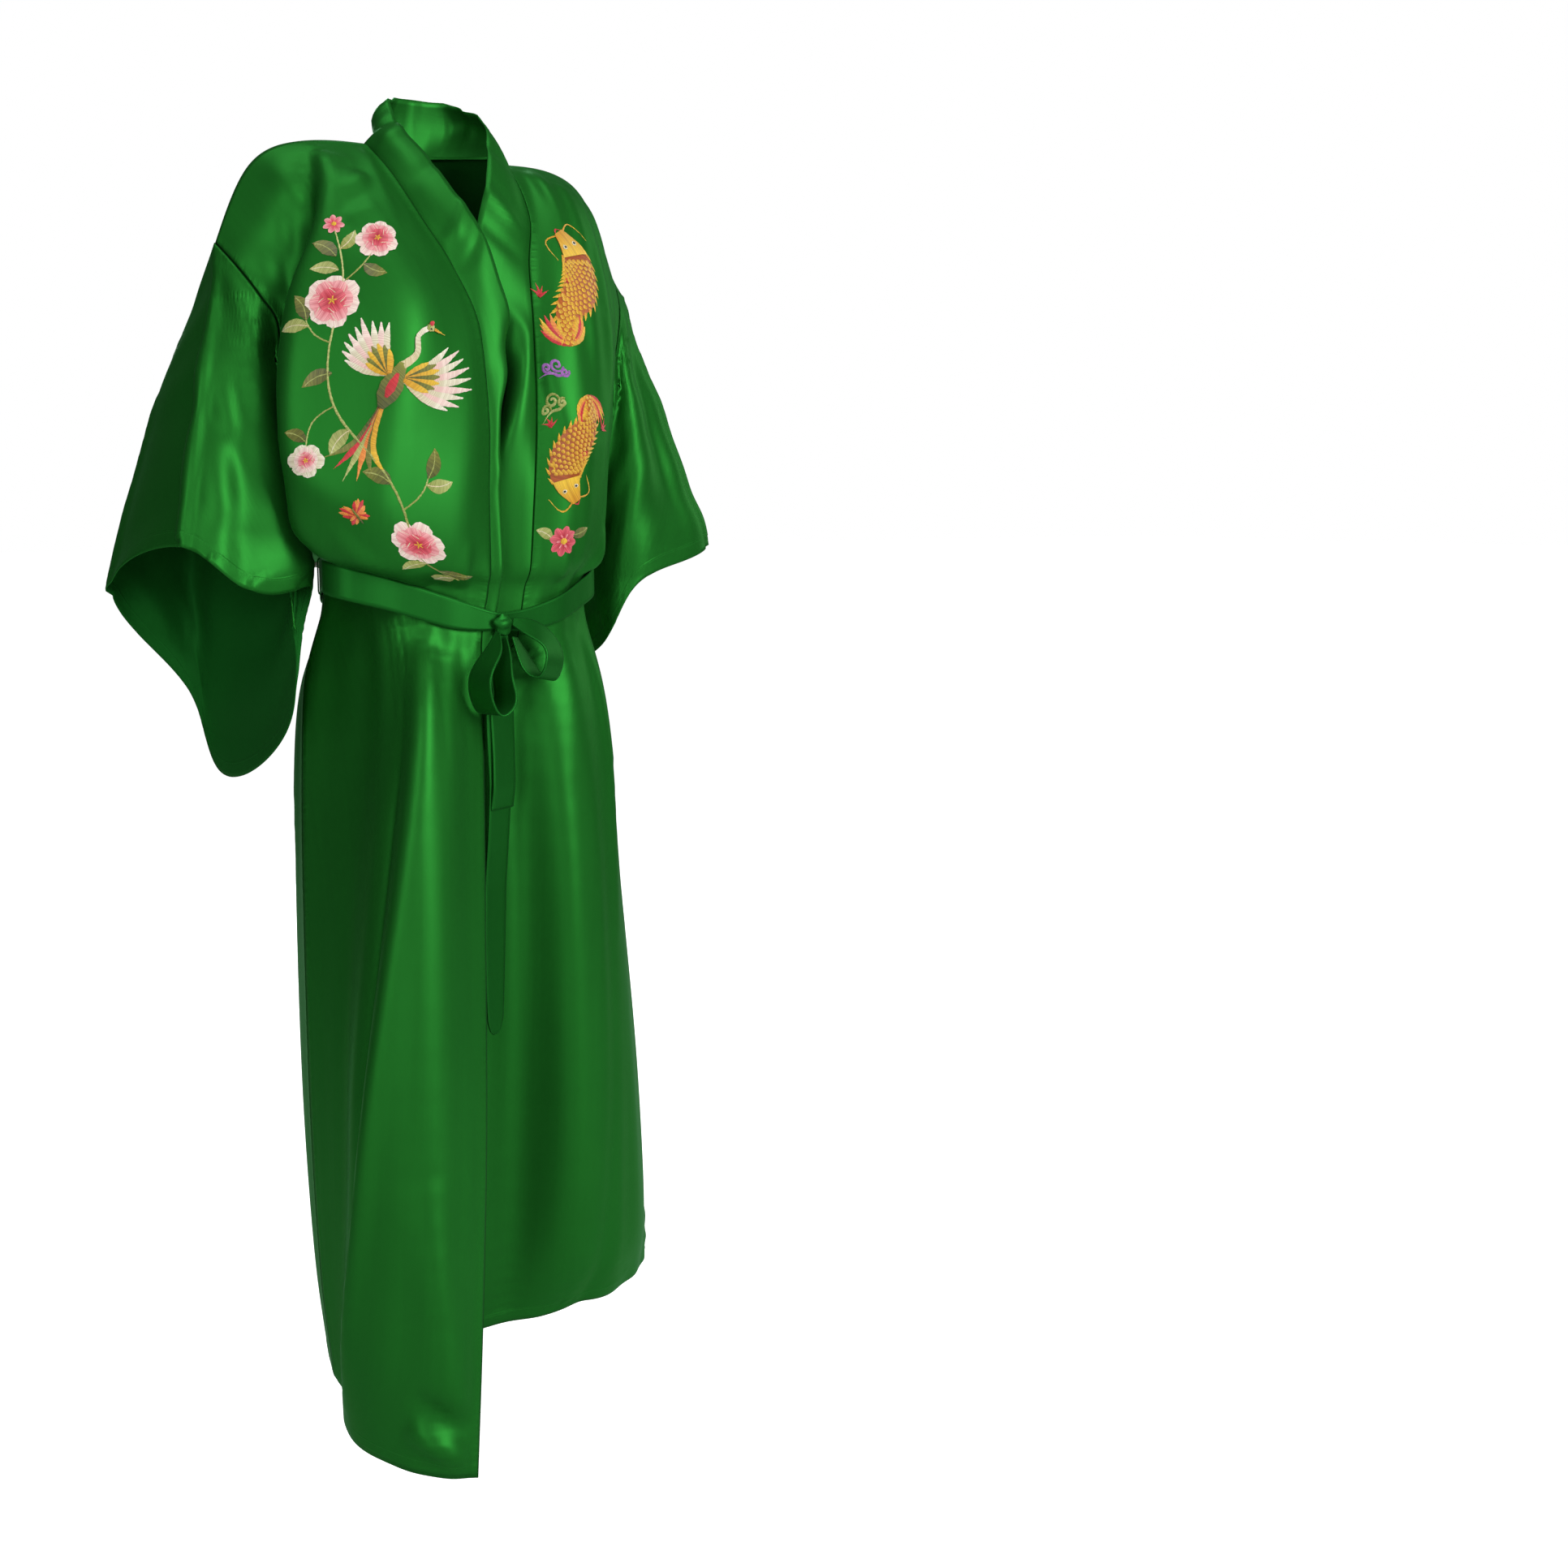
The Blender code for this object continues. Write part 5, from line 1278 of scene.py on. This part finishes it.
    def plume(self, spine, size, level, thread):
        """A curved plume with an eye at its end."""
        self.blade(spine, size, [0.24, 0.58, 0.72, 0.86, 0.94, 0.60], thread, level)
        self.blade(spine[:3], size, [0.06, 0.08, 0.04], "cream", 1.5 + level, rise=0.0003)
        eye = spine[3] - 0.10 * (spine[3] - spine[2])
        for reach, colour, height in ((0.0056, "cream", 1.6), (0.0030, "black", 2.8)):
            self.dot(eye, reach, reach, [0.2, 0.8, 1.0, 0.8, 0.2], colour, height + level)

    def fan(self, at, turn, spread, count, length, width, threads, level=0.0, curl=0.0):
        """Feathers or fin rays that open from one root."""
        for number in range(count):
            share = number / (count - 1)
            reach = length * (0.78 + 0.22 * np.sin(np.pi * share)) * self.chance.uniform(0.94, 1.04)
            spot = spotter(at, turn + spread * (share - 0.5), reach)
            self.blade([at, spot(0.5, curl * 0.35), spot(1, curl * 0.2)], width, [0.5, 0.9, 1.0, 0.8, 0.15],
                       threads[number % len(threads)], level + 0.15 * number)

    def carp(self, spine, girth):
        """A carp along a curved middle line from its nose to its tail."""
        fins = ("red", "orange", "gold")
        shares = np.array([0.30, 0.72, 0.95, 1.0, 0.92, 0.74, 0.50, 0.30, 0.22])
        length = np.linalg.norm(np.diff(spine, axis=0), axis=1).sum()
        places = np.linspace(0, 1, 61)
        middle = bending(spine, np.linspace(0, 1, len(spine)), places)
        tangent = unit(np.gradient(middle, axis=0))
        across = np.stack([-tangent[:, 1], tangent[:, 0]], axis=1)
        half = np.interp(places, np.linspace(0, 1, len(shares)), girth * shares)
        heading = np.degrees(np.arctan2(tangent[:, 1], tangent[:, 0])) - 90

        def spot(number, aside, more=0.0, ahead=0.0):
            """A point on the body: share of its half width, then shares of the girth aside and ahead."""
            out = aside * half[number] + more * girth
            return middle[number] + across[number] * out + tangent[number] * ahead * girth

        for side, start, size in ((1, 20, 0.95), (-1, 20, 0.95), (1, 38, 0.55), (-1, 38, 0.55)):
            self.fan(spot(start, 0.8 * side), heading[start] + side * 52, 44, 6, girth * 1.25 * size,
                     girth * 0.12, fins, -0.3, curl=-0.3 * side)
        self.fan(spot(30, 0.9), heading[30] + 28, 60, 7, girth * 0.8, girth * 0.10, fins[:2], -0.3, curl=-0.4)
        for side in (1, -1):
            self.fan(middle[-1], heading[-1] + 24 * side, 46, 6, girth * 1.9, girth * 0.14, fins, -0.2,
                     curl=0.5 * side)
        self.blade(spine, girth, shares, "amber", 0.5, rise=0.0007)
        head = np.interp(np.linspace(0, 0.21, 5), np.linspace(0, 1, len(shares)), shares)
        self.blade(middle[:14:3], girth * 0.97, head, "gold", 2.0, along=True)
        for number in range(12, 58, 3):
            for side in (1, -1):
                root, tip = spot(number, 0.94 * side, 0, -0.08), spot(number, 0.94 * side, 0.24 * side, 0.30)
                self.blade([root, tip], girth, [0.10, 0.07, 0.0], "gold", 0.4)
        reach = girth * 0.135
        rows = int(length * 0.76 / (reach * 1.55))
        for row in range(rows):
            number = min(58, int(14 + row * 46 / rows))
            count = max(1, int(half[number] * 2 / (reach * 2.1)))
            for column in range(-count, count + 1):
                offset = (column + 0.5 * (row % 2)) * reach * 2.1
                if abs(offset) > half[number] - reach * 0.7:
                    continue
                root = middle[number] + across[number] * offset
                shield = [root, root + tangent[number] * reach * 1.5]
                self.blade(shield, reach, [0.60, 0.90, 0.92, 0.66, 0.20], "gold", 2.0 + 0.1 * (row % 2),
                           along=True, rise=0.0004)
        for side in (1, -1):
            for reach, widths, thread, level in ((0.13, [0.05, 0.13, 0.05], "cream", 3.2),
                                                 (0.07, [0.03, 0.07, 0.03], "black", 4.4)):
                eye = [spot(7, 0.55 * side, -reach), spot(7, 0.55 * side, reach)]
                self.blade(eye, girth, widths, thread, level)
            whisker = [spot(1, 0.7 * side, out * side, ahead)
                       for out, ahead in ((0, 0), (0.8, -0.1), (1.1, 0.9))]
            self.blade(whisker, 0.001, [0.8, 0.7, 0.2], "gold", 0.6)
        mouth = [spot(0, 0, -0.2), spot(0, 0, 0, -0.16), spot(0, 0, 0.2)]
        self.blade(mouth, 0.001, [0.4, 0.9, 0.4], "red", 1.4)

    def crane(self, at, size, turn, hand):
        """A flying crane: two spread wings, a long neck, a red cap and trailing plumes."""
        spot = spotter(at, turn, size, hand)
        for number, thread in enumerate(("olive", "red", "lime", "orange", "olive", "gold")):
            lean = (number - 2.5) * 0.10
            spine = [spot(-0.2), spot(-0.75, lean * 0.4), spot(0.10 * abs(number - 2.2) - 1.30, lean * 1.6)]
            self.blade(spine, size, [0.03, 0.045, 0.04, 0.0], thread, -0.2 + 0.1 * number)
        for wing, lean, reach, side in ((0, 62.0, 0.98, 1), (1, -58.0, 0.80, -1)):
            root = spot(0.12, 0.10 * side)
            self.fan(root, turn + hand * lean, 66.0, 9, reach * size, 0.052 * size, ("cream", "blush"),
                     0.2 + 0.2 * wing, curl=0.25 * hand * side)
            self.fan(root, turn + hand * lean, 60.0, 7, 0.52 * reach * size, 0.055 * size, ("gold", "olive"),
                     1.9 + 0.2 * wing)
        body = [spot(-0.30), at, spot(0.30)]
        self.blade(body, size, [0.04, 0.13, 0.15, 0.10, 0.05], "olive", 2.6, rise=0.0007)
        self.blade([spot(-0.16), spot(0.16)], size, [0.02, 0.06, 0.05, 0.02], "red", 4.0)
        neck = [spot(0.26), spot(0.48, 0.10), spot(0.66, 0.02), spot(0.82, 0.10)]
        self.blade(neck, size, [0.055, 0.04, 0.032, 0.036], "cream", 3.0)
        spot = spotter(neck[-1], turn, size, hand)
        for start, end, widths, thread, level in (
                ((0, -0.03), (0.03, 0.07), [0.03, 0.048, 0.035], "lime", 3.6),
                ((0.04, 0), (0.10, 0.03), [0.02, 0.035, 0.015], "red", 4.2),
                ((0.02, 0.08), (0.03, 0.26), [0.018, 0.012, 0.0], "gold", 3.6),
                ((0, 0.02), (0, 0.045), [0.010, 0.014, 0.008], "black", 5.0)):
            self.blade([spot(*start), spot(*end)], size, widths, thread, level)

    def butterfly(self, at, size, turn):
        """A small butterfly seen from above."""
        for hand in (1, -1):
            self.fan(at, turn + hand * 48, 46, 4, size, size * 0.15, ("red", "orange"), 0.2)
            self.fan(at, turn + hand * 118, 36, 3, size * 0.7, size * 0.13, ("orange", "red"), 0.4)
            spot = spotter(at, turn + hand * 18, size)
            self.blade([spot(0.2), spot(0.8, hand * 0.2)], 0.001, [0.3, 0.3], "gold", 0.6)
        spot = spotter(at, turn, size)
        self.blade([spot(-0.5), spot(0.4)], size, [0.03, 0.07, 0.06, 0.04], "olive", 2.6)

    def lay_on(self, name, grid, start, base, wall, sign, closed):
        """Lays the flat pattern on a cloth grid by its own lengths and makes it a piece."""
        flat, faces, used = (np.concatenate(one) for one in (self.flat, self.faces, self.slots))
        track = np.concatenate([grid, grid, grid], axis=1) if closed else grid
        middle = base + (grid.shape[1] if closed else 0)
        down = lengths(track, 0)[:, middle]
        across = lengths(track, 1)
        across -= across[:, middle][:, None]
        outward = outward_of(track, sign)
        row = np.interp(flat[:, 1], down - down[start], np.arange(len(down)))
        low = np.clip(row.astype(int), 0, len(track) - 2)
        columns = np.arange(track.shape[1])
        result = np.empty((len(flat), 3))
        for level in np.unique(low):
            picked = np.where(low == level)[0]
            share = (row - low)[picked][:, None]
            place = way = 0
            for line, part in ((level, 1 - share), (level + 1, share)):
                column = np.interp(-sign * flat[picked, 0], across[line], columns)
                left = np.clip(column.astype(int), 0, track.shape[1] - 2)
                rest = (column - left)[:, None]
                place = place + part * (track[line, left] * (1 - rest) + track[line, left + 1] * rest)
                way = way + part * (outward[line, left] * (1 - rest) + outward[line, left + 1] * rest)
            result[picked] = place + unit(way) * (flat[picked, 2][:, None] + 0.5 * wall + STITCH_GAP)
        kept = sorted(set(used.tolist()))
        maps = [np.concatenate(one)[faces] for one in (self.run, self.tone)]
        piece = place_mesh(name, result, faces, maps, [thread_material(list(THREADS)[slot]) for slot in kept])
        piece.data.polygons.foreach_set("material_index", np.searchsorted(kept, used))
        piece.data.update()


# Patterns, a motif a line: its name and threads, its points across and down the cloth, its size, its numbers.
# Points and sizes are in millimetres. The numbers are a turn in degrees, then a hand, or a count of petals.
# A star marks a number that turns over with the sleeve.
FRONT_RIGHT_PATTERN = """
stem, 60 415 46 365 52 315 26 262 -10 212 -18 150 -8 90 -14 26, 1.2
stem, -18 150 -34 140 -44 122, 0.8
stem, 52 315 74 300 84 280, 0.8
stem, -8 90 14 70 26 52, 0.8
stem, -10 212 -30 226 -36 252, 0.8
blossom, 28 46, 22 15
blossom, -18 108, 29 60
blossom, 52 352, 27 -20
blossom pink blush cream, -36 262, 17 40 1
daisy pink, -14 22, 11 0 7
leaf olive, -14 60, 30 -48
leaf lime, -10 52, 26 40
leaf lime, -12 76, 28 -80
leaf olive, 12 72, 26 118
leaf olive, -42 126, 30 -24
leaf lime, -40 132, 28 -92
leaf olive, -14 180, 30 -112
leaf lime, 6 236, 30 -140
leaf olive, 82 286, 30 16
leaf lime, 80 292, 28 86
leaf olive, 44 290, 30 -64
leaf lime, 48 378, 30 -110
leaf olive, 54 398, 30 118
leaf olive, -36 244, 24 -60
leaf lime, 58 412, 24 -100
crane, 44 196, 78 24 1
butterfly, 6 318, 18 -24
"""
FRONT_LEFT_PATTERN = """
carp, -6 12 14 40 10 78 -10 108 -8 140, 21
carp, -2 300 -16 272 -6 240 12 216 8 190, 18
swirl lime, -30 204, 15 -20 -1
swirl lilac, -26 168, 15 10 1
daisy rose, -14 340, 15 10 8
daisy pink, -14 340, 8 30 6
leaf olive, -4 334, 22 70
leaf lime, -26 338, 20 -60
flame, -36 90, 14 -10
flame, 32 220, 13 20
flame, -34 226, 12 -24
"""
BACK_PATTERN = """
carp, 128 120 104 78 58 58 10 80 -30 104 -78 90 -104 50, 33
carp, -130 150 -114 200 -72 226 -22 208 22 188 66 206 92 240, 29
crane, 6 306, 84 -62 -1
stem, -150 340 -118 318 -90 326 -66 350, 1.4
stem, 150 346 116 326 90 342, 1.4
stem, -50 450 -60 490 -54 530 -62 572, 1.4
stem, 50 452 66 490 54 530 62 566, 1.4
blossom, -104 318, 29 10
blossom, 112 322, 30 40
blossom, 62 474, 30 -15
blossom, -60 482, 26 20
blossom, -58 544, 19 50
leaf olive, -76 330, 34 100
leaf lime, -78 336, 30 150
leaf olive, -132 326, 32 -60
leaf lime, -128 330, 30 -110
leaf olive, 90 336, 34 -110
leaf lime, 138 330, 32 60
leaf olive, 136 338, 30 120
leaf olive, 58 512, 34 60
leaf lime, 54 530, 32 -100
leaf olive, 62 560, 36 150
leaf lime, -56 506, 30 -60
leaf olive, -56 522, 30 80
leaf lime, -62 566, 34 -170
leaf olive, -60 560, 30 120
plume lime, 0 436 12 485 6 535 -16 580, 10 0
plume orange, 6 436 26 478 32 520 20 562, 10 0.3
plume olive, -4 436 -10 472 -24 500 -26 530, 10 0.6
swirl lilac, -158 76, 30 10 1
swirl lime, -112 10, 27 -12 -1
swirl lilac, 152 200, 26 20 -1
swirl lime, 0 140, 24 -10 1
swirl lilac, -160 262, 24 6 1
swirl lime, 156 268, 22 -20 -1
swirl lilac, 20 10, 24 0 -1
flame, -164 136, 26 -10
flame, 158 60, 26 16
flame, 98 168, 26 24
flame, -62 156, 24 -24
flame, 138 146, 22 8
flame, -128 288, 20 10
daisy orange, 62 150, 21 0 11
daisy gold, 62 150, 10 12 7
"""
SLEEVE_PATTERN = """
carp, -48 106 -24 90 6 98 36 84, 18
crane, 8 190, 56 -50* -1*
swirl lilac, -12 36, 21 12 1*
swirl lime, -58 158, 18 -14 1*
swirl lilac, 62 140, 18 8 1*
flame, 44 50, 16 8*
flame, -28 150, 16 8*
flame, 60 204, 15 8*
daisy pink, -30 240, 13 0 7
leaf olive, -28 234, 22 60
"""


def length_size(name, description, default, **limits):
    return bpy.props.FloatProperty(name=name, description=description, default=default, unit="LENGTH",
                                   subtype="DISTANCE", **limits)


def part_count(name, description, default, low, high):
    return bpy.props.IntProperty(name=name, description=description, default=default, min=low, max=high)


def colour_choice(name, description, default):
    return bpy.props.FloatVectorProperty(name=name, description=description, default=default, subtype="COLOR",
                                         size=3)


class RobeSizes(bpy.types.PropertyGroup):
    """Sizes of the robe's cloth and how finely it is drawn."""

    wall: length_size("Cloth thickness", "Thickness of the satin with its turned edges", 0.0009,
                      min=0.0004, max=0.002)
    belt_wall: length_size("Belt thickness", "Thickness of the belt, which is a flat tube of satin", 0.0016,
                           min=0.001, max=0.003)
    hem: length_size("Hem width", "Width of the turned hem", 0.016)
    length_parts: part_count("Parts down", "Rows of cloth drawn for each row of the panels", 6, 1, 12)
    front_steps: part_count("Parts across", "Columns of cloth drawn across a front", 70, 8, 120)
    neck_steps: part_count("Parts at the neck", "Columns of cloth drawn across the nape", 44, 4, 80)
    sleeve_steps: part_count("Parts along a sleeve", "Rows of cloth drawn down a sleeve", 72, 8, 120)


class RobeColours(bpy.types.PropertyGroup):
    """Colours of the robe."""

    satin: colour_choice("Satin", "Colour of the shiny side", (0.0135, 0.148, 0.0165))
    reverse: colour_choice("Reverse", "Colour of the dull side", (0.007, 0.095, 0.0115))
    belt: colour_choice("Belt", "Colour of the belt", (0.0095, 0.118, 0.0135))
    floor: colour_choice("Floor", "Colour of the floor", (0.62, 0.62, 0.62))


built = {}


def robe():
    """The worn cloth, worked out on first use."""
    if "robe" not in built:
        built["robe"] = Robe(bpy.context.scene.robe_sizes)
    return built["robe"]


def material(kind):
    """The material of a kind of piece, made on first use."""
    colours, hem = bpy.context.scene.robe_colours, bpy.context.scene.robe_sizes.hem
    name, *looks = {
        "satin": ("Green satin", colours.satin, 0.20, 1.0, [(1, 0, hem)], ("edges", 0)),
        "sleeve": ("Sleeve satin", colours.satin, 0.20, 1.0, [(1, 0, hem)], ("cut", 1)),
        "reverse": ("Satin reverse", colours.reverse, 0.10, 0.25, [(1, 0, hem)]),
        "band": ("Band satin", colours.satin, 0.20, 1.0, [(1, 0, 0.002)]),
        "ribbon": ("Ribbon satin", colours.belt, 0.14, 1.0, [(0, 1, 0.0018), (1, 0, 0.0030)]),
        "belt": ("Belt satin", colours.belt, 0.14, 1.0, [(1, 0, 0.0022)]),
    }[kind]
    return bpy.data.materials.get(name) or satin_material(name, *looks)


class ROBE_OT_panels(bpy.types.Operator):
    """Adds the back and the two fronts"""

    bl_idname = "robe.add_panels"
    bl_label = "Add Panels"

    def execute(self, context):
        grids = robe().grids
        wall = context.scene.robe_sizes.wall
        cloth = [material("satin"), material("reverse")]
        back = place_sheet("back_cloth", grids["back"], wall, cloth, ["back"])
        for side, flip in (("right", False), ("left", True)):
            name = "front_" + side
            front = place_sheet(name + "_cloth", grids[name], wall, cloth, [name], flip=flip)
        return {"FINISHED"}


class ROBE_OT_sleeves(bpy.types.Operator):
    """Adds the two wide sleeves"""

    bl_idname = "robe.add_sleeves"
    bl_label = "Add Sleeves"

    def execute(self, context):
        wall = context.scene.robe_sizes.wall
        cloth = [material("sleeve"), material("reverse")]
        for side, flip in (("right", False), ("left", True)):
            name = "sleeve_" + side
            grid = robe().grids[name]
            sleeve = place_sheet(name + "_cloth", grid, wall, cloth, [name], closed=True, flip=flip)
        return {"FINISHED"}


class ROBE_OT_band(bpy.types.Operator):
    """Adds the collar band"""

    bl_idname = "robe.add_band"
    bl_label = "Add Collar Band"

    def execute(self, context):
        wall = context.scene.robe_sizes.wall + BAND_EXTRA
        grid = robe().grids["collar_band"]
        band = place_sheet("collar_band_cloth", grid, wall, [material("band")], ["collar_band"])
        return {"FINISHED"}


class ROBE_OT_belt(bpy.types.Operator):
    """Adds the belt, its knot, its bow and its tails"""

    bl_idname = "robe.add_belt"
    bl_label = "Add Belt"

    def execute(self, context):
        worn = robe()
        wall = context.scene.robe_sizes.belt_wall
        turns, places = (np.linspace(0, 1, parts * len(worn.belt), endpoint=False)
                         for parts in (1, BELT_PARTS))
        grid = belt_sheet(bending(worn.belt, turns, places, closed=True), BELT_ACROSS)
        band = place_sheet("belt_band_cloth", grid, wall, [material("belt")], ["belt_band"], closed=True)
        cloth = [material("ribbon")]
        for name, rows in (("belt_bow_right", BOW_RIGHT_ROWS), ("belt_bow_left", BOW_LEFT_ROWS)):
            grid = ribbon(rows, LOOP_FINE[0], worn.knot_at, LOOP_FINE[1])
            loop = place_sheet(name + "_cloth", grid, wall, cloth, [name])
        under = [sampled(worn.grids[name], 2) for name in ("front_right", "front_left", "collar_band")]
        under = np.concatenate(under + [sampled(belt_sheet(worn.belt))])
        for name, rows, count, end in (("belt_tail_long", TAIL_LONG_ROWS, 120, 0.016),
                                       ("belt_tail_short", TAIL_SHORT_ROWS, 60, 0.0)):
            tail = laid_on(ribbon(rows, count, worn.knot_at, TAIL_ACROSS), under, BELT_CLOTH + TOUCH)
            under = np.concatenate([under, sampled(tail, 2)])
            piece = place_sheet(name + "_cloth", eased(tail, end), wall, cloth, [name])
        self.knot(worn)
        return {"FINISHED"}

    def knot(self, worn):
        """The knot: wrapped folds drawn tight over each other."""
        rings, around = KNOT_FINE
        slopes = np.linspace(0, np.pi, rings)[1:-1, None]
        turns = np.linspace(0, 2 * np.pi, around, endpoint=False)[None, :]
        wrap = 1 + 0.10 * np.cos(5 * slopes + 1.3 * np.sin(turns)) + 0.05 * np.sin(3 * turns + 4 * slopes)
        shape = np.stack([np.sin(slopes) * np.cos(turns), np.sin(slopes) * np.sin(turns),
                          np.cos(slopes) * np.ones_like(turns)], axis=2)
        grid = shape * (wrap * 0.97)[:, :, None] * KNOT_SIZE + worn.knot_at
        piece = place_grid("belt_knot_cloth", grid, [material("belt")], closed=True)
        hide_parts("belt_knot")


class ROBE_OT_embroidery(bpy.types.Operator):
    """Adds the silk embroidery"""

    bl_idname = "robe.add_embroidery"
    bl_label = "Add Embroidery"

    def execute(self, context):
        for panel, pattern, start, base, sign, mirror in (
                ("front_right", FRONT_RIGHT_PATTERN, 21, 26, 1.0, 1),
                ("front_left", FRONT_LEFT_PATTERN, 24, 15, -1.0, 1),
                ("back", BACK_PATTERN, 28, 92, 1.0, 1),
                ("sleeve_right", SLEEVE_PATTERN, 0, 56, 1.0, 1),
                ("sleeve_left", SLEEVE_PATTERN, 0, 56, -1.0, -1)):
            name = panel + "_stitches"
            stitches = Stitching(len(name))
            stitches.stitch(pattern, mirror)
            wall = context.scene.robe_sizes.wall
            stitches.lay_on(name, robe().grids[panel], start, base, wall, sign, "sleeve" in name)
        return {"FINISHED"}


class ROBE_OT_stage(bpy.types.Operator):
    """Adds the floor, the light and the camera"""

    bl_idname = "robe.add_stage"
    bl_label = "Add Stage"

    def execute(self, context):
        scene = context.scene
        mesh = bpy.data.meshes.new("floor")
        corners = [(across * FLOOR_REACH, deep * FLOOR_REACH, FLOOR_AT) for across, deep in
                   ((-1, -1), (1, -1), (1, 1), (-1, 1))]
        mesh.from_pydata(corners, [], [(0, 1, 2, 3)])
        floor = bpy.data.objects.new("floor", mesh)
        scene.collection.objects.link(floor)
        pale, shades, shader = new_material("Pale floor")
        glow = shades.math("MULTIPLY", shades.add("LightPath").outputs["Is Camera Ray"], FLOOR_GLOW)
        shades.fill(shader, Base_Color=(*scene.robe_colours.floor, 1.0), Roughness=0.9,
                    Emission_Color=(1.0, 1.0, 1.0, 1.0), Emission_Strength=glow)
        mesh.materials.append(pale)
        world = bpy.data.worlds.new("studio")
        world.use_nodes = True
        shades = Shades(world.node_tree)
        seen = shades.add("LightPath").outputs["Is Camera Ray"]
        shades.fill(world.node_tree.nodes["Background"], Color=(1.0, 1.0, 1.0, 1.0),
                    Strength=shades.math("MULTIPLY_ADD", seen, 1.0 - ROOM_LIGHT, ROOM_LIGHT))
        scene.world = world
        for name, (*place, width, height, strength) in LIGHTS.items():
            data = bpy.data.lights.new(name, "AREA")
            data.shape = "RECTANGLE"
            data.size, data.size_y = width, height
            data.energy = strength
            light = bpy.data.objects.new(name, data)
            light.location = place
            light.rotation_euler = (Vector(LIGHTS_AIM) - Vector(place)).to_track_quat("-Z", "Y").to_euler()
            scene.collection.objects.link(light)
        data = bpy.data.cameras.new("camera")
        data.sensor_width = CAMERA_SENSOR
        data.lens = CAMERA_LENS
        camera = bpy.data.objects.new("camera", data)
        azimuth, heading, pitch = np.radians((CAMERA_AZIMUTH, CAMERA_AZIMUTH + CAMERA_PAN, CAMERA_PITCH))
        place = Vector((np.sin(azimuth) * CAMERA_DISTANCE, -np.cos(azimuth) * CAMERA_DISTANCE, CAMERA_HEIGHT))
        forward = Vector((-np.sin(heading) * np.cos(pitch), np.cos(heading) * np.cos(pitch), np.sin(pitch)))
        right = Vector((np.cos(heading), np.sin(heading), 0.0))
        turn = Matrix((right, right.cross(forward), -forward)).transposed().to_4x4()
        camera.matrix_world = Matrix.Translation(place) @ turn
        scene.collection.objects.link(camera)
        scene.camera = camera
        scene.view_settings.view_transform = "Standard"
        return {"FINISHED"}


class ROBE_PT_panel(bpy.types.Panel):
    """Buttons and sizes of the robe"""

    bl_idname = "ROBE_PT_panel"
    bl_label = "Kimono Robe"
    bl_space_type = "VIEW_3D"
    bl_region_type = "UI"
    bl_category = "Kimono Robe"

    def draw(self, context):
        for group in (context.scene.robe_sizes, context.scene.robe_colours):
            for name in group.__annotations__:
                self.layout.prop(group, name)
        for step in STEPS:
            self.layout.operator(step.bl_idname)


STEPS = (ROBE_OT_panels, ROBE_OT_sleeves, ROBE_OT_band, ROBE_OT_belt, ROBE_OT_embroidery, ROBE_OT_stage)
CLASSES = (RobeSizes, RobeColours) + STEPS + (ROBE_PT_panel,)


def register():
    for kind in CLASSES:
        bpy.utils.register_class(kind)
    bpy.types.Scene.robe_sizes = bpy.props.PointerProperty(type=RobeSizes)
    bpy.types.Scene.robe_colours = bpy.props.PointerProperty(type=RobeColours)


def unregister():
    del bpy.types.Scene.robe_colours
    del bpy.types.Scene.robe_sizes
    for kind in reversed(CLASSES):
        bpy.utils.unregister_class(kind)


def main():
    register()
    for step in STEPS:
        module, name = step.bl_idname.split(".")
        getattr(getattr(bpy.ops, module), name)()


if __name__ == "__main__":
    main()
